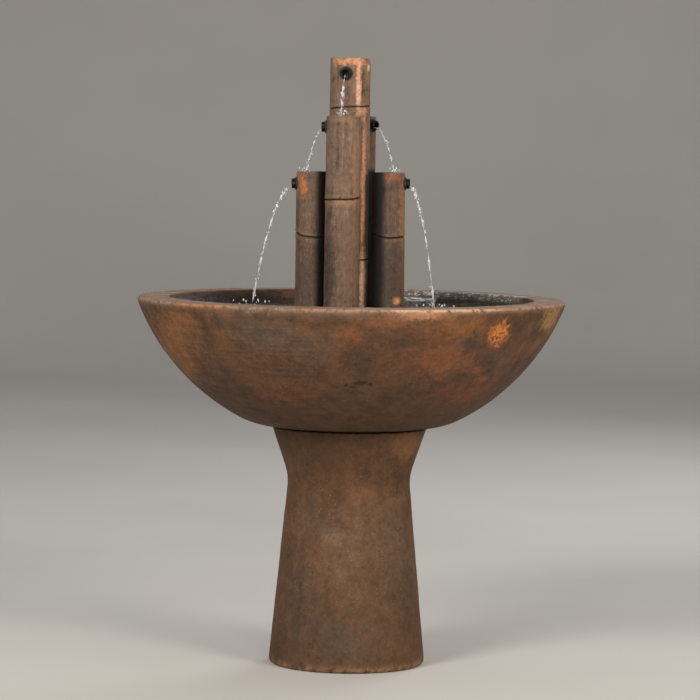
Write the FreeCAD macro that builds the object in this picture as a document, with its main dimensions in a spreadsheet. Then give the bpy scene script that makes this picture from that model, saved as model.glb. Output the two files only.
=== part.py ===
import FreeCAD, Part
import math
import os
import Sketcher

# A cast stone fountain: a bowl on a flared pedestal, and five bamboo stems with spouts in the bowl.
# Millimetres, +Z up, front towards -Y. The origin is the middle of the pedestal's foot, on the ground.

doc = FreeCAD.newDocument("fountain")
sheet = doc.addObject("Spreadsheet::Sheet", "Sizes")

SIZES = [
    # fits that several pieces share
    ("fit_gap", 0.05, "radial clearance of a pushed or running fit"),
    ("seat_gap", 0.3, "clearance where a loose end meets its seat"),
    # pedestal
    ("pedestal_height", 423, "ground to the top face"),
    ("foot_radius", 140, "outer radius at the ground"),
    ("foot_round", 7, "rounding of the foot's outer edge"),
    ("waist_height", 335, "height of the narrowest place"),
    ("waist_radius", 107.8, "radius where the two cones would meet"),
    ("waist_round", 90, "rounding between the two cones"),
    ("head_radius", 138, "outer radius of the top face"),
    ("pedestal_wall", 34, "thickness of the cast wall"),
    ("notch_width", 36, "width of the cord's arch at the back"),
    ("notch_height", 20, "height of the arch below its round top"),
    ("setting_pad_radius", 20, "radius of a setting pad"),
    ("setting_pad_thick", 3, "thickness of a setting pad"),
    ("setting_pad_turn", 30, "heading of the first pad from +X"),
    # bowl
    ("bowl_radius", 381, "outer radius at the widest place"),
    ("bowl_height", 228, "underside to the rim"),
    ("bowl_bulge", 387, "radius of the outer curve"),
    ("bowl_foot_radius", 139.6, "radius of the flat underside"),
    ("belly_round", 125, "rounding between the underside and the outer curve"),
    ("belly_turn", 27.44, "how far that rounding turns, in degrees"),
    ("bowl_depth", 188, "rim to the inside floor"),
    ("rim_inner_radius", 322, "radius of the opening"),
    ("rim_edge_round", 7, "rounding of the rim's outer edge"),
    ("rim_inner_round", 5, "rounding of the rim's inner edge"),
    ("inside_bulge", 300, "radius of the inner curve"),
    ("inside_floor_radius", 134, "radius of the flat inside floor"),
    ("drain_top_radius", 26, "drain hole at the inside floor"),
    ("drain_low_radius", 22, "drain hole at the underside"),
    ("stopper_length", 30, "length of the rubber stopper"),
    ("stopper_head", 3, "height of the stopper's pull rim above the floor"),
    ("stopper_lip", 3, "how far the pull rim stands out over the drain hole"),
    ("cord_bore_radius", 4, "bore for the pump's cord"),
    # hollow plinth under the water
    ("plinth_radius", 124, "outer radius"),
    ("plinth_wall", 20, "side wall"),
    ("plinth_height", 138, "inside floor of the bowl to the deck"),
    ("plinth_deck", 20, "thickness of the deck"),
    ("plinth_round", 6, "rounding of the deck's edge"),
    ("inlet_width", 26, "width of an inlet arch"),
    ("inlet_height", 14, "height of an inlet arch below its round top"),
    ("deck_hole_radius", 10, "hole in the deck under each stem"),
    # stems: place, radii, and heights above the deck
    ("stem_bore_radius", 15, "bore inside every stem"),
    ("stem_bore_over", 10, "bore above the spout's axis"),
    ("stem_dish_depth", 5, "hollow in the cut top"),
    ("stem_dish_wall", 8, "ring of stone round the hollow"),
    ("node_groove", 4, "width of the groove at a node"),
    ("node_groove_depth", 3, "depth of that groove"),
    ("node_swell", 1.2, "how far a node stands out"),
    ("node_swell_length", 16, "length of the swelling each side of a node"),
    ("tall_x", -7.5, "tall stem; the others stand round it"),
    ("tall_y", 10, "tall stem"),
    ("tall_low_radius", 36.3, "tall stem at the deck"),
    ("tall_top_radius", 36.2, "tall stem at the top"),
    ("tall_height", 475, "tall stem"),
    ("tall_upper_node", 388, "tall stem"),
    ("tall_lower_node", 116.2, "tall stem"),
    ("tall_spout_height", 447, "tall stem"),
    ("tall_turn", 167.6, "heading of the tall stem's spout from +Y, counter-clockwise"),
    ("front_heading", -98.9, "heading of the front stem from the tall one, from +X"),
    ("front_gap", 0.3, "gap between the front stem and the tall one"),
    ("front_low_radius", 31.8, "front stem at the deck"),
    ("front_top_radius", 30.5, "front stem at the top"),
    ("front_height", 372, "front stem"),
    ("front_node", 225, "front stem"),
    ("front_spout_height", 352, "front stem"),
    ("front_turn", 84, "heading of the front stem's spout"),
    ("rear_heading", 75.4, "heading of the rear stem from the tall one, from +X"),
    ("rear_gap", 0.8, "gap between the rear stem and the tall one"),
    ("rear_low_radius", 31, "rear stem at the deck"),
    ("rear_top_radius", 30.5, "rear stem at the top"),
    ("rear_height", 373, "rear stem"),
    ("rear_node", 190, "rear stem"),
    ("rear_spout_height", 356, "rear stem"),
    ("rear_turn", 232.3, "heading of the rear stem's spout"),
    ("left_heading", 202, "heading of the left stem from the tall one, from +X"),
    ("left_gap", 0.3, "gap between the left stem and the tall one"),
    ("left_low_radius", 30.5, "left stem at the deck"),
    ("left_top_radius", 30, "left stem at the top"),
    ("left_height", 273.5, "left stem"),
    ("left_node", 157, "left stem"),
    ("left_spout_height", 251.5, "left stem"),
    ("left_turn", 95, "heading of the left stem's spout"),
    ("right_heading", -19.7, "heading of the right stem from the tall one, from +X"),
    ("right_gap", 6.4, "gap between the right stem and the tall one"),
    ("right_low_radius", 31, "right stem at the deck"),
    ("right_top_radius", 29.6, "right stem at the top"),
    ("right_height", 273.5, "right stem"),
    ("right_node", 158, "right stem"),
    ("right_spout_height", 253.5, "right stem"),
    ("right_turn", 265, "heading of the right stem's spout"),
    # spouts, their rings, elbows and tubes
    ("spout_radius", 9, "outer radius of a spout"),
    ("spout_bore_radius", 6.5, "mouth of a spout"),
    ("spout_reach", 8, "how far a spout stands out of its stem"),
    ("spout_mouth_depth", 12, "depth of the mouth"),
    ("spout_tail_radius", 5, "tail that goes into the elbow"),
    ("spout_tail_length", 11, "length of that tail"),
    ("water_bore_radius", 3.5, "water way through tails, legs and stubs"),
    ("ring_wall", 2.65, "wall of a spout's sealing ring"),
    ("ring_proud", 1.5, "how far the ring stands out of the stem"),
    ("elbow_radius", 8, "body of an elbow"),
    ("elbow_cap", 1, "elbow's top above its socket"),
    ("elbow_drop", 12, "spout's axis down to the elbow's shoulder"),
    ("elbow_leg", 14, "leg of an elbow inside the riser tube"),
    ("elbow_reach", 14, "stem's axis to the end of the elbow's socket"),
    ("tube_radius", 8, "outer radius of a riser tube"),
    ("tube_bore_radius", 6, "bore of a riser tube and of the supply hose"),
    # manifold
    ("manifold_drop", 7, "underside of the deck to the caps"),
    ("arm_radius", 8, "outer radius of an arm"),
    ("arm_bore_radius", 5, "bore of an arm"),
    ("cap_radius", 10, "upright cap at an arm's end"),
    ("cap_half", 10, "half the height of a cap"),
    ("hub_radius", 13, "radius of the hub under the tall stem"),
    ("hub_wall", 4, "wall round the hub's chamber"),
    ("stub_length", 14, "stub inside a riser tube"),
    ("supply_reach", 48, "hub to the pump's outlet, along the rear arm"),
    ("hose_radius", 8.6, "outer radius of the supply hose"),
    # pump, along its shaft
    ("cup_height", 8, "height of a suction cup"),
    ("cup_radius", 9, "foot of a suction cup"),
    ("cup_top_radius", 5, "top of a suction cup"),
    ("cup_spread", 14, "suction cups each side of the pump's middle"),
    ("cup_inset", 10, "suction cups from the pump's ends"),
    ("pump_width", 44, "width across the shaft"),
    ("pump_height", 58, "height of the housing"),
    ("pump_round", 5, "rounding of the housing's long edges"),
    ("pump_front", 8, "outlet to the front face"),
    ("end_plate_thick", 3, "thickness of the end plate"),
    ("chamber_radius", 12, "rotor's chamber"),
    ("chamber_wall", 3, "wall between the chamber and the core's legs"),
    ("chamber_end_wall", 2, "wall between the chamber and the coil's bay"),
    ("boss_radius", 5, "boss that holds the back bush"),
    ("boss_length", 3, "length of that boss"),
    ("bush_radius", 2.5, "outer radius of a shaft bush"),
    ("volute_back", 6, "outlet to the back of the impeller's chamber"),
    ("gasket_width", 1.5, "width of the gasket round the impeller's chamber"),
    ("bay_gap", 2, "room round the coil in its bay"),
    ("core_half_width", 10, "stator core"),
    ("core_thick", 7, "stator core's bars"),
    ("core_back_gap", 4, "back face to the core's back bar"),
    ("core_front_wall", 4, "core's legs to the impeller's chamber"),
    ("coil_build", 3, "thickness of the winding round the back bar"),
    ("shaft_radius", 1.5, "ceramic shaft"),
    ("sleeve_radius", 3, "impeller's sleeve in the magnet"),
    ("magnet_gap", 1, "magnet to the wall of its chamber"),
    ("magnet_length", 23, "rotor magnet"),
    ("magnet_front_gap", 2, "magnet to the impeller's chamber"),
    ("rotor_play", 1.7, "impeller's sleeve to the back bush's boss"),
    ("impeller_side_gap", 2.5, "blades to the wall of their chamber"),
    ("impeller_end_gap", 0.6, "impeller to either end of its chamber"),
    ("impeller_disc", 2.5, "thickness of the impeller's disc"),
    ("blade_half_thick", 0.8, "half the thickness of a blade"),
    ("gasket_thick", 1, "gasket under the impeller cover"),
    ("cover_side_gap", 1, "impeller cover to the inside of the intake cover"),
    ("cover_thick", 4, "impeller cover"),
    ("cover_spigot", 4, "spigot inside the impeller's chamber"),
    ("eye_radius", 8, "eye in the impeller cover"),
    ("bridge_half", 1.5, "half the width of the bridge over the eye"),
    ("eye_boss_radius", 4, "boss in the eye for the front bush"),
    ("strainer_length", 24, "intake cover"),
    ("strainer_wall", 2.5, "intake cover"),
    ("slot_width", 2.6, "slots of the intake cover"),
    ("slot_height", 38, "slots of the intake cover"),
    ("slot_first", 11, "shaft's axis to the first slot"),
    ("slot_pitch", 4.6, "from one slot to the next"),
    ("knob_radius", 8, "flow knob"),
    ("knob_thick", 3.5, "flow knob"),
    ("knob_grip", 4, "height of the flow knob's finger bar"),
    ("knob_grip_half", 1.5, "half the width of that bar"),
    ("knob_stem_radius", 3, "flow knob's stem"),
    ("knob_head_radius", 4.6, "flow knob's retaining head"),
    ("knob_head_length", 3, "flow knob's retaining head"),
    ("adapter_collar_radius", 7.5, "hose adapter"),
    ("adapter_collar", 3, "hose adapter"),
    ("adapter_spigot_radius", 5.5, "hose adapter in the housing"),
    ("adapter_seat", 3, "end of the spigot to the impeller's chamber"),
    ("adapter_barb", 13, "hose adapter in the supply hose"),
    ("gland_radius", 5, "cord gland"),
    ("gland_neck_radius", 3.5, "cord gland in the end plate"),
    ("gland_length", 10, "cord gland"),
    ("gland_bore_radius", 2.5, "cord gland"),
    ("gland_below", 18, "shaft's axis down to the gland"),
]

for row, (alias, value, meaning) in enumerate(SIZES, start=1):
    sheet.set(f"A{row}", alias.replace("_", " ") + ": " + meaning)
    sheet.set(f"B{row}", str(value))
    sheet.setAlias(f"B{row}", alias)
doc.recompute()


def named(text):
    """Puts the sheet's name before every size in an expression."""
    words = sorted((alias for alias, _, _ in SIZES), key=len, reverse=True)
    out = ""
    position = 0
    while position < len(text):
        match = next((w for w in words if text.startswith(w, position)), None)
        if match and (position == 0 or not (text[position - 1].isalnum() or text[position - 1] in "_.")):
            out += "Sizes." + match
            position += len(match)
        else:
            out += text[position]
            position += 1
    return out


def number(text):
    return float(sheet.evalExpression(named(text)))


def bind(thing, prop, text):
    thing.setExpression(prop, named(text))


# Counts
SETTING_PADS = 3
IMPELLER_BLADES = 6
COVER_WINDOWS = 4
SLOTS_EACH_SIDE = 2

# Heights and places that several pieces share
BOWL_Z = "(pedestal_height + setting_pad_thick)"
FLOOR_Z = f"({BOWL_Z} + bowl_height - bowl_depth)"
BELLY_RADIUS = "(bowl_foot_radius + belly_round * sin(belly_turn * 1 deg))"
BELLY_HEIGHT = "(belly_round * (1 - cos(belly_turn * 1 deg)))"
DECK_Z = f"({FLOOR_Z} + plinth_height)"
RING_RADIUS = "(spout_radius + fit_gap + ring_wall)"
MANIFOLD_HEIGHT = "(plinth_height - plinth_deck - manifold_drop - cap_half)"
OUTLET_X = "(tall_x + supply_reach * cos(rear_heading * 1 deg))"
OUTLET_Y = "(tall_y + supply_reach * sin(rear_heading * 1 deg))"
SHAFT_Z = f"({FLOOR_Z} + cup_height + pump_height / 2)"
BARB_TOP = "(cup_height + pump_height + adapter_collar + adapter_barb)"

# Places along the pump's shaft, from the outlet, and radii round it
MAGNET_FRONT = "(volute_back + magnet_front_gap)"
MAGNET_BACK = f"({MAGNET_FRONT} + magnet_length)"
SLEEVE_BACK = f"({MAGNET_BACK} + seat_gap)"
CHAMBER_END = f"({SLEEVE_BACK} + rotor_play + boss_length)"
BAY_DEPTH = "(core_back_gap + core_thick + coil_build + bay_gap)"
PUMP_BACK = f"({CHAMBER_END} + chamber_end_wall + {BAY_DEPTH})"
FRONT_BUSH_START = "(pump_front - cover_spigot)"
FRONT_BUSH_END = "(pump_front + gasket_thick + cover_thick - seat_gap)"
CORE_HALF_HEIGHT = "(chamber_radius + chamber_wall + core_thick)"
COIL_HALF_HEIGHT = "(chamber_radius + chamber_wall - bay_gap)"
COVER_RADIUS = "(pump_width / 2 - strainer_wall - cover_side_gap)"
VOLUTE_RADIUS = f"({COVER_RADIUS} - gasket_width)"
IMPELLER_RADIUS = f"({VOLUTE_RADIUS} - impeller_side_gap)"


class Round:
    """A round side of an outline. The centre lies to the left or right of the way round."""

    def __init__(self, radius, side):
        self.radius = radius
        self.left = side == "left"


def origin_item(body, role):
    return next(item for item in body.Origin.OriginFeatures if item.Role == role)


def new_sketch(body, name, role, height=None):
    sketch = body.newObject("Sketcher::SketchObject", name)
    sketch.AttachmentSupport = [(origin_item(body, role), "")]
    sketch.MapMode = "FlatFace"
    if height:
        bind(sketch, "AttachmentOffset.Base.z", height)
    return sketch


def constrain(sketch, kind, *target, text):
    index = sketch.addConstraint(Sketcher.Constraint(kind, *target, number(text)))
    bind(sketch, f"Constraints[{index}]", text)


def add_side(sketch, start, end, bow):
    """One side of an outline. Gives the side's number and which of its ends is the start."""
    if bow is None:
        return sketch.addGeometry(Part.LineSegment(start, end), False), 1, 2
    chord = end - start
    radius = number(bow.radius)
    across = FreeCAD.Vector(-chord.y, chord.x, 0).normalize()
    reach = math.sqrt(radius ** 2 - (chord.Length / 2) ** 2)
    centre = (start + end) * 0.5 + across * (reach if bow.left else -reach)
    angles = [math.atan2(p.y - centre.y, p.x - centre.x) for p in (start, end)]
    circle = Part.Circle(centre, FreeCAD.Vector(0, 0, 1), radius)
    first, last = angles if bow.left else reversed(angles)
    side = sketch.addGeometry(Part.ArcOfCircle(circle, first, last), False)
    constrain(sketch, "Radius", side, text=bow.radius)
    return (side, 1, 2) if bow.left else (side, 2, 1)


def draw_outline(sketch, steps):
    """A closed outline through corners, with a Round between two corners where a side is round."""
    corners = []
    bows = []
    for step in steps:
        if isinstance(step, Round):
            bows[-1] = step
        else:
            corners.append(step)
            bows.append(None)
    places = [FreeCAD.Vector(number(x), number(y), 0) for x, y in corners]
    sides = []
    for index, start in enumerate(places):
        end = places[(index + 1) % len(places)]
        sides.append(add_side(sketch, start, end, bows[index]))
    for index, (side, start_end, last_end) in enumerate(sides):
        following, next_start, _ = sides[(index + 1) % len(sides)]
        sketch.addConstraint(Sketcher.Constraint("Coincident", side, last_end, following, next_start))
        across, up = corners[index]
        constrain(sketch, "DistanceX", -1, 1, side, start_end, text=across)
        constrain(sketch, "DistanceY", -1, 1, side, start_end, text=up)


def draw_circle(sketch, x, y, radius):
    centre = FreeCAD.Vector(number(x), number(y), 0)
    circle = Part.Circle(centre, FreeCAD.Vector(0, 0, 1), number(radius))
    index = sketch.addGeometry(circle, False)
    constrain(sketch, "Radius", index, text=radius)
    constrain(sketch, "DistanceX", -1, 1, index, 3, text=x)
    constrain(sketch, "DistanceY", -1, 1, index, 3, text=y)


def rectangle(low_x, high_x, low_y, high_y):
    return [(low_x, low_y), (high_x, low_y), (high_x, high_y), (low_x, high_y)]


def new_body(label):
    body = doc.addObject("PartDesign::Body", label)
    body.Label = label
    return body


def turned(label, role, axis, steps):
    """A body made by turning an outline round one axis of its sketch."""
    body = new_body(label)
    sketch = new_sketch(body, label + "_outline", role)
    draw_outline(sketch, steps)
    turning = body.newObject("PartDesign::Revolution", label + "_turning")
    turning.Profile = sketch
    turning.ReferenceAxis = (sketch, [axis])
    turning.Angle = 360
    doc.recompute()
    return body


def pad(body, sketch, length, backwards=False):
    feature = body.newObject("PartDesign::Pad", sketch.Name + "_pad")
    feature.Profile = sketch
    feature.Reversed = backwards
    bind(feature, "Length", length)
    doc.recompute()
    return feature


def cut(feature):
    """Recomputes a cutting feature and makes sure that it took something away."""
    doc.recompute()
    if not feature.Shape.Volume < feature.BaseFeature.Shape.Volume:
        raise ValueError(feature.Name + " cuts nothing")


def pocket(body, sketch, length, backwards=False, both_ways=False):
    feature = body.newObject("PartDesign::Pocket", sketch.Name + "_pocket")
    feature.Profile = sketch
    feature.Reversed = backwards
    feature.Midplane = both_ways
    bind(feature, "Length", length)
    cut(feature)
    return feature


def groove(body, sketch, axis):
    feature = body.newObject("PartDesign::Groove", sketch.Name + "_groove")
    feature.Profile = sketch
    feature.ReferenceAxis = (sketch, [axis])
    feature.Angle = 360
    cut(feature)


def round_off(body, name, edges, radius):
    feature = body.newObject("PartDesign::Fillet", name)
    feature.Base = (feature.BaseFeature, edges)
    bind(feature, "Radius", radius)
    doc.recompute()


def repeat(body, name, feature, count):
    """Repeats a feature in a circle round the pump's shaft."""
    pattern = body.newObject("PartDesign::PolarPattern", name)
    pattern.Originals = [feature]
    pattern.Axis = (origin_item(body, "X_Axis"), [""])
    pattern.Angle = 360
    pattern.Occurrences = count
    body.Tip = pattern
    doc.recompute()


def edges_where(shape, test):
    return [f"Edge{i}" for i, edge in enumerate(shape.Edges, start=1) if test(edge)]


def ring_edges(shape, radius, height):
    """Names of the round edges of one radius at one height."""
    def fits(edge):
        is_ring = isinstance(edge.Curve, Part.Circle) and edge.Closed
        return is_ring and math.isclose(edge.Curve.Radius, radius, abs_tol=0.01) and \
            math.isclose(edge.Curve.Center.z, height, abs_tol=0.01)
    return edges_where(shape, fits)


def place(thing, x="0", y="0", z="0", turn=None):
    for axis, text in zip("xyz", (x, y, z)):
        bind(thing, f"Placement.Base.{axis}", text)
    if turn:
        thing.Placement.Rotation.Axis = FreeCAD.Vector(0, 0, 1)
        bind(thing, "Placement.Rotation.Angle", turn)


def cylinder(name, radius, height, x="0", y="0", z="0", along=None):
    """A solid cylinder that rises from its place, or runs along +X or +Y from it."""
    thing = doc.addObject("Part::Cylinder", name)
    bind(thing, "Radius", radius)
    bind(thing, "Height", height)
    if along == "X":
        thing.Placement.Rotation = FreeCAD.Rotation(FreeCAD.Vector(0, 1, 0), 90)
    if along == "Y":
        thing.Placement.Rotation = FreeCAD.Rotation(FreeCAD.Vector(1, 0, 0), -90)
    place(thing, x, y, z)
    return thing


def block(name, low_x, size_x, low_y, size_y, low_z, size_z):
    thing = doc.addObject("Part::Box", name)
    bind(thing, "Length", size_x)
    bind(thing, "Width", size_y)
    bind(thing, "Height", size_z)
    place(thing, low_x, low_y, low_z)
    return thing


def joined(name, things):
    thing = doc.addObject("Part::MultiFuse", name)
    thing.Shapes = things
    thing.Label = name
    return thing


def grouped(name, things):
    thing = doc.addObject("Part::Compound", name)
    thing.Links = things
    thing.Label = name
    return thing


def without(name, whole, hole):
    thing = doc.addObject("Part::Cut", name)
    thing.Base = whole
    thing.Tool = hole
    thing.Label = name
    return thing


def at_middle(thing):
    place(thing, z=FLOOR_Z)


def at_shaft(thing):
    place(thing, OUTLET_X, OUTLET_Y, SHAFT_Z)


# Pedestal: two cones that meet in a rounded waist, hollow, with an arch for the cord at the back
def make_pedestal():
    bore = "(waist_radius - pedestal_wall)"
    body = turned("pedestal", "XZ_Plane", "V_Axis", [
        ("foot_radius - pedestal_wall", "0"),
        ("foot_radius - foot_round", "0"),
        Round("foot_round", "left"),
        ("foot_radius", "foot_round"),
        ("waist_radius", "waist_height"),
        ("head_radius", "pedestal_height"),
        (bore, "pedestal_height"),
        (bore, "waist_height"),
    ])
    waist = ring_edges(body.Shape, number("waist_radius"), number("waist_height"))
    round_off(body, "pedestal_waist", waist, "waist_round")
    arch = new_sketch(body, "pedestal_arch", "XZ_Plane")
    draw_outline(arch, [
        ("-notch_width / 2", "0"),
        ("notch_width / 2", "0"),
        ("notch_width / 2", "notch_height"),
        Round("notch_width / 2 + fit_gap", "left"),
        ("-notch_width / 2", "notch_height"),
    ])
    pocket(body, arch, "foot_radius + foot_round")
    return body


# Setting pads: three discs that keep the bowl off the pedestal
def make_setting_pads():
    discs = []
    middle = "(head_radius + waist_radius - pedestal_wall) / 2"
    for index in range(SETTING_PADS):
        heading = f"(setting_pad_turn + 360 * {index} / {SETTING_PADS}) * 1 deg"
        x = f"{middle} * cos({heading})"
        y = f"{middle} * sin({heading})"
        discs.append(cylinder(f"setting_pad_{index}", "setting_pad_radius", "setting_pad_thick", x, y,
                              "pedestal_height"))
    return grouped("setting_pads", discs)


# Bowl: a thick wall between two curves, a flat rim and a tapered drain hole
def make_basin():
    body = turned("basin", "XZ_Plane", "V_Axis", [
        ("drain_low_radius", "0"),
        ("bowl_foot_radius", "0"),
        Round("belly_round", "left"),
        (BELLY_RADIUS, BELLY_HEIGHT),
        Round("bowl_bulge", "left"),
        ("bowl_radius", "bowl_height - rim_edge_round"),
        Round("rim_edge_round", "left"),
        ("bowl_radius - rim_edge_round", "bowl_height"),
        ("rim_inner_radius + rim_inner_round", "bowl_height"),
        Round("rim_inner_round", "left"),
        ("rim_inner_radius", "bowl_height - rim_inner_round"),
        Round("inside_bulge", "right"),
        ("inside_floor_radius", "bowl_height - bowl_depth"),
        ("drain_top_radius", "bowl_height - bowl_depth"),
    ])
    place(body, z=BOWL_Z)
    return body


# Stopper: a rubber cone in the drain hole, with a rim to pull it by and the cord's bore
def make_stopper():
    floor_thick = "(bowl_height - bowl_depth)"
    taper = f"(drain_top_radius - drain_low_radius) / {floor_thick}"
    low_radius = f"drain_top_radius - {taper} * stopper_length - fit_gap"
    body = turned("cord_stopper", "XZ_Plane", "V_Axis", [
        ("cord_bore_radius", "-stopper_length"),
        (low_radius, "-stopper_length"),
        ("drain_top_radius - fit_gap", "0"),
        ("drain_top_radius - fit_gap", "seat_gap"),
        ("drain_top_radius + stopper_lip", "seat_gap"),
        ("drain_top_radius + stopper_lip", "stopper_head"),
        ("cord_bore_radius", "stopper_head"),
    ])
    at_middle(body)
    return body


STEMS = ("tall", "front", "rear", "left", "right")
NODES = {
    "tall": ("tall_lower_node", "tall_upper_node"),
    "front": ("front_node",),
    "rear": ("rear_node",),
    "left": ("left_node",),
    "right": ("right_node",),
}


def stem_reach(stem):
    """Distance of a stem's axis from the tall stem's axis."""
    return f"(tall_low_radius + {stem}_low_radius + node_swell + {stem}_gap)"


def stem_place(stem):
    if stem == "tall":
        return "tall_x", "tall_y"
    heading = f"{stem}_heading * 1 deg"
    return f"tall_x + {stem_reach(stem)} * cos({heading})", f"tall_y + {stem_reach(stem)} * sin({heading})"


# Plinth: a hollow drum with an inlet arch on four sides and a hole under each stem
def make_plinth():
    inner = "plinth_radius - plinth_wall"
    body = turned("plinth", "XZ_Plane", "V_Axis", [
        (inner, "0"),
        ("plinth_radius", "0"),
        ("plinth_radius", "plinth_height - plinth_round"),
        Round("plinth_round", "left"),
        ("plinth_radius - plinth_round", "plinth_height"),
        ("0", "plinth_height"),
        ("0", "plinth_height - plinth_deck"),
        (inner, "plinth_height - plinth_deck"),
    ])
    for role in ("XZ_Plane", "YZ_Plane"):
        arch = new_sketch(body, "plinth_inlets_" + role[:2], role)
        draw_outline(arch, [
            ("-inlet_width / 2", "0"),
            ("inlet_width / 2", "0"),
            ("inlet_width / 2", "inlet_height"),
            Round("inlet_width / 2 + fit_gap", "left"),
            ("-inlet_width / 2", "inlet_height"),
        ])
        pocket(body, arch, "plinth_radius * 2 + plinth_round", both_ways=True)
    holes = new_sketch(body, "plinth_holes", "XY_Plane", "plinth_height")
    for stem in STEMS:
        draw_circle(holes, *stem_place(stem), "deck_hole_radius")
    pocket(body, holes, "plinth_deck + plinth_round")
    at_middle(body)
    return body


def stem_radius(stem, height):
    """Outer radius of a stem's straight taper at a height above the deck."""
    low, top, whole = f"{stem}_low_radius", f"{stem}_top_radius", f"{stem}_height"
    return f"{low} + ({top} - {low}) * ({height}) / {whole}"


# Stem: a cut length of bamboo with its nodes, bored from below for the tube, and across for the spout
def make_stem(stem):
    outline = [("stem_bore_radius", "0"), (f"{stem}_low_radius", "0")]
    for node in NODES[stem]:
        straight = stem_radius(stem, node)
        swollen = f"{straight} + node_swell"
        outline += [
            (straight, f"{node} - node_swell_length"),
            (swollen, f"{node} - node_groove / 2"),
            (f"{swollen} - node_groove_depth", node),
            (swollen, f"{node} + node_groove / 2"),
            (straight, f"{node} + node_swell_length"),
        ]
    bore_top = f"{stem}_spout_height + stem_bore_over"
    outline += [
        (f"{stem}_top_radius", f"{stem}_height"),
        (f"{stem}_top_radius - stem_dish_wall", f"{stem}_height"),
        (f"{stem}_top_radius - stem_dish_wall - stem_dish_depth", f"{stem}_height - stem_dish_depth"),
        ("0", f"{stem}_height - stem_dish_depth"),
        ("0", bore_top),
        ("stem_bore_radius", bore_top),
    ]
    body = turned(f"{stem}_stem", "XZ_Plane", "V_Axis", outline)
    opening = new_sketch(body, f"{stem}_spout_opening", "XZ_Plane")
    draw_circle(opening, "0", f"{stem}_spout_height", f"{RING_RADIUS} + fit_gap")
    pocket(body, opening, f"{stem}_low_radius + spout_reach")
    place(body, *stem_place(stem), DECK_Z, f"{stem}_turn")
    return body


def spout_face(stem):
    """Distance of the stem's surface from its axis, at the spout."""
    return f"({stem_radius(stem, stem + '_spout_height')})"


def at_spout(thing, stem):
    place(thing, *stem_place(stem), f"{DECK_Z} + {stem}_spout_height", f"{stem}_turn")


# Spout: a nozzle whose wide mouth stands out of the stem and whose tail goes into the elbow
def make_spout(stem):
    shoulder = "elbow_reach + seat_gap"
    mouth = f"{spout_face(stem)} + spout_reach"
    body = turned(f"{stem}_spout", "XY_Plane", "V_Axis", [
        ("water_bore_radius", f"{shoulder} - spout_tail_length"),
        ("spout_tail_radius", f"{shoulder} - spout_tail_length"),
        ("spout_tail_radius", shoulder),
        ("spout_radius", shoulder),
        ("spout_radius", mouth),
        ("spout_bore_radius", mouth),
        ("spout_bore_radius", f"{mouth} - spout_mouth_depth"),
        ("water_bore_radius", f"{mouth} - spout_mouth_depth - spout_bore_radius + water_bore_radius"),
    ])
    at_spout(body, stem)
    return body


# Sealing ring: rubber between the spout and the opening in the stone
def make_ring(stem):
    inside = "stem_bore_radius + seat_gap"
    outside = f"{spout_face(stem)} + ring_proud"
    body = turned(f"{stem}_ring", "XY_Plane", "V_Axis", [
        ("spout_radius + fit_gap", inside),
        (RING_RADIUS, inside),
        (RING_RADIUS, f"{outside} - ring_proud / 2"),
        (f"{RING_RADIUS} - ring_proud / 2", outside),
        ("spout_radius + fit_gap", outside),
    ])
    at_spout(body, stem)
    return body


# Elbow: an upright body with a leg in the riser tube and a socket for the spout's tail
def make_elbow(stem):
    name = f"{stem}_elbow"
    solid = joined(name + "_solid", [
        cylinder(name + "_body", "elbow_radius", "elbow_drop + elbow_radius + elbow_cap", z="-elbow_drop"),
        cylinder(name + "_leg", "tube_bore_radius - fit_gap", "elbow_leg", z="-elbow_drop - elbow_leg"),
        cylinder(name + "_socket", "elbow_radius", "elbow_reach", along="Y"),
    ])
    tail_start = "elbow_reach + seat_gap - spout_tail_length - seat_gap"
    water = joined(name + "_water", [
        cylinder(name + "_rise", "water_bore_radius", "elbow_drop + elbow_leg", z="-elbow_drop - elbow_leg"),
        cylinder(name + "_turn", "water_bore_radius", "elbow_reach", along="Y"),
        cylinder(name + "_seat", "spout_tail_radius + fit_gap", "elbow_reach", y=tail_start, along="Y"),
    ])
    body = without(name, solid, water)
    at_spout(body, stem)
    return body


# Riser tube: a plain tube from the manifold's stub to the elbow's leg
def make_riser(stem):
    low = f"({MANIFOLD_HEIGHT} + cap_half + seat_gap)"
    high = f"(plinth_height + {stem}_spout_height - elbow_drop - seat_gap)"
    body = new_body(f"{stem}_riser")
    section = new_sketch(body, f"{stem}_riser_section", "XY_Plane")
    draw_circle(section, "0", "0", "tube_radius")
    draw_circle(section, "0", "0", "tube_bore_radius")
    pad(body, section, f"{high} - {low}")
    place(body, *stem_place(stem), f"{FLOOR_Z} + {low}")
    return body


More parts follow.
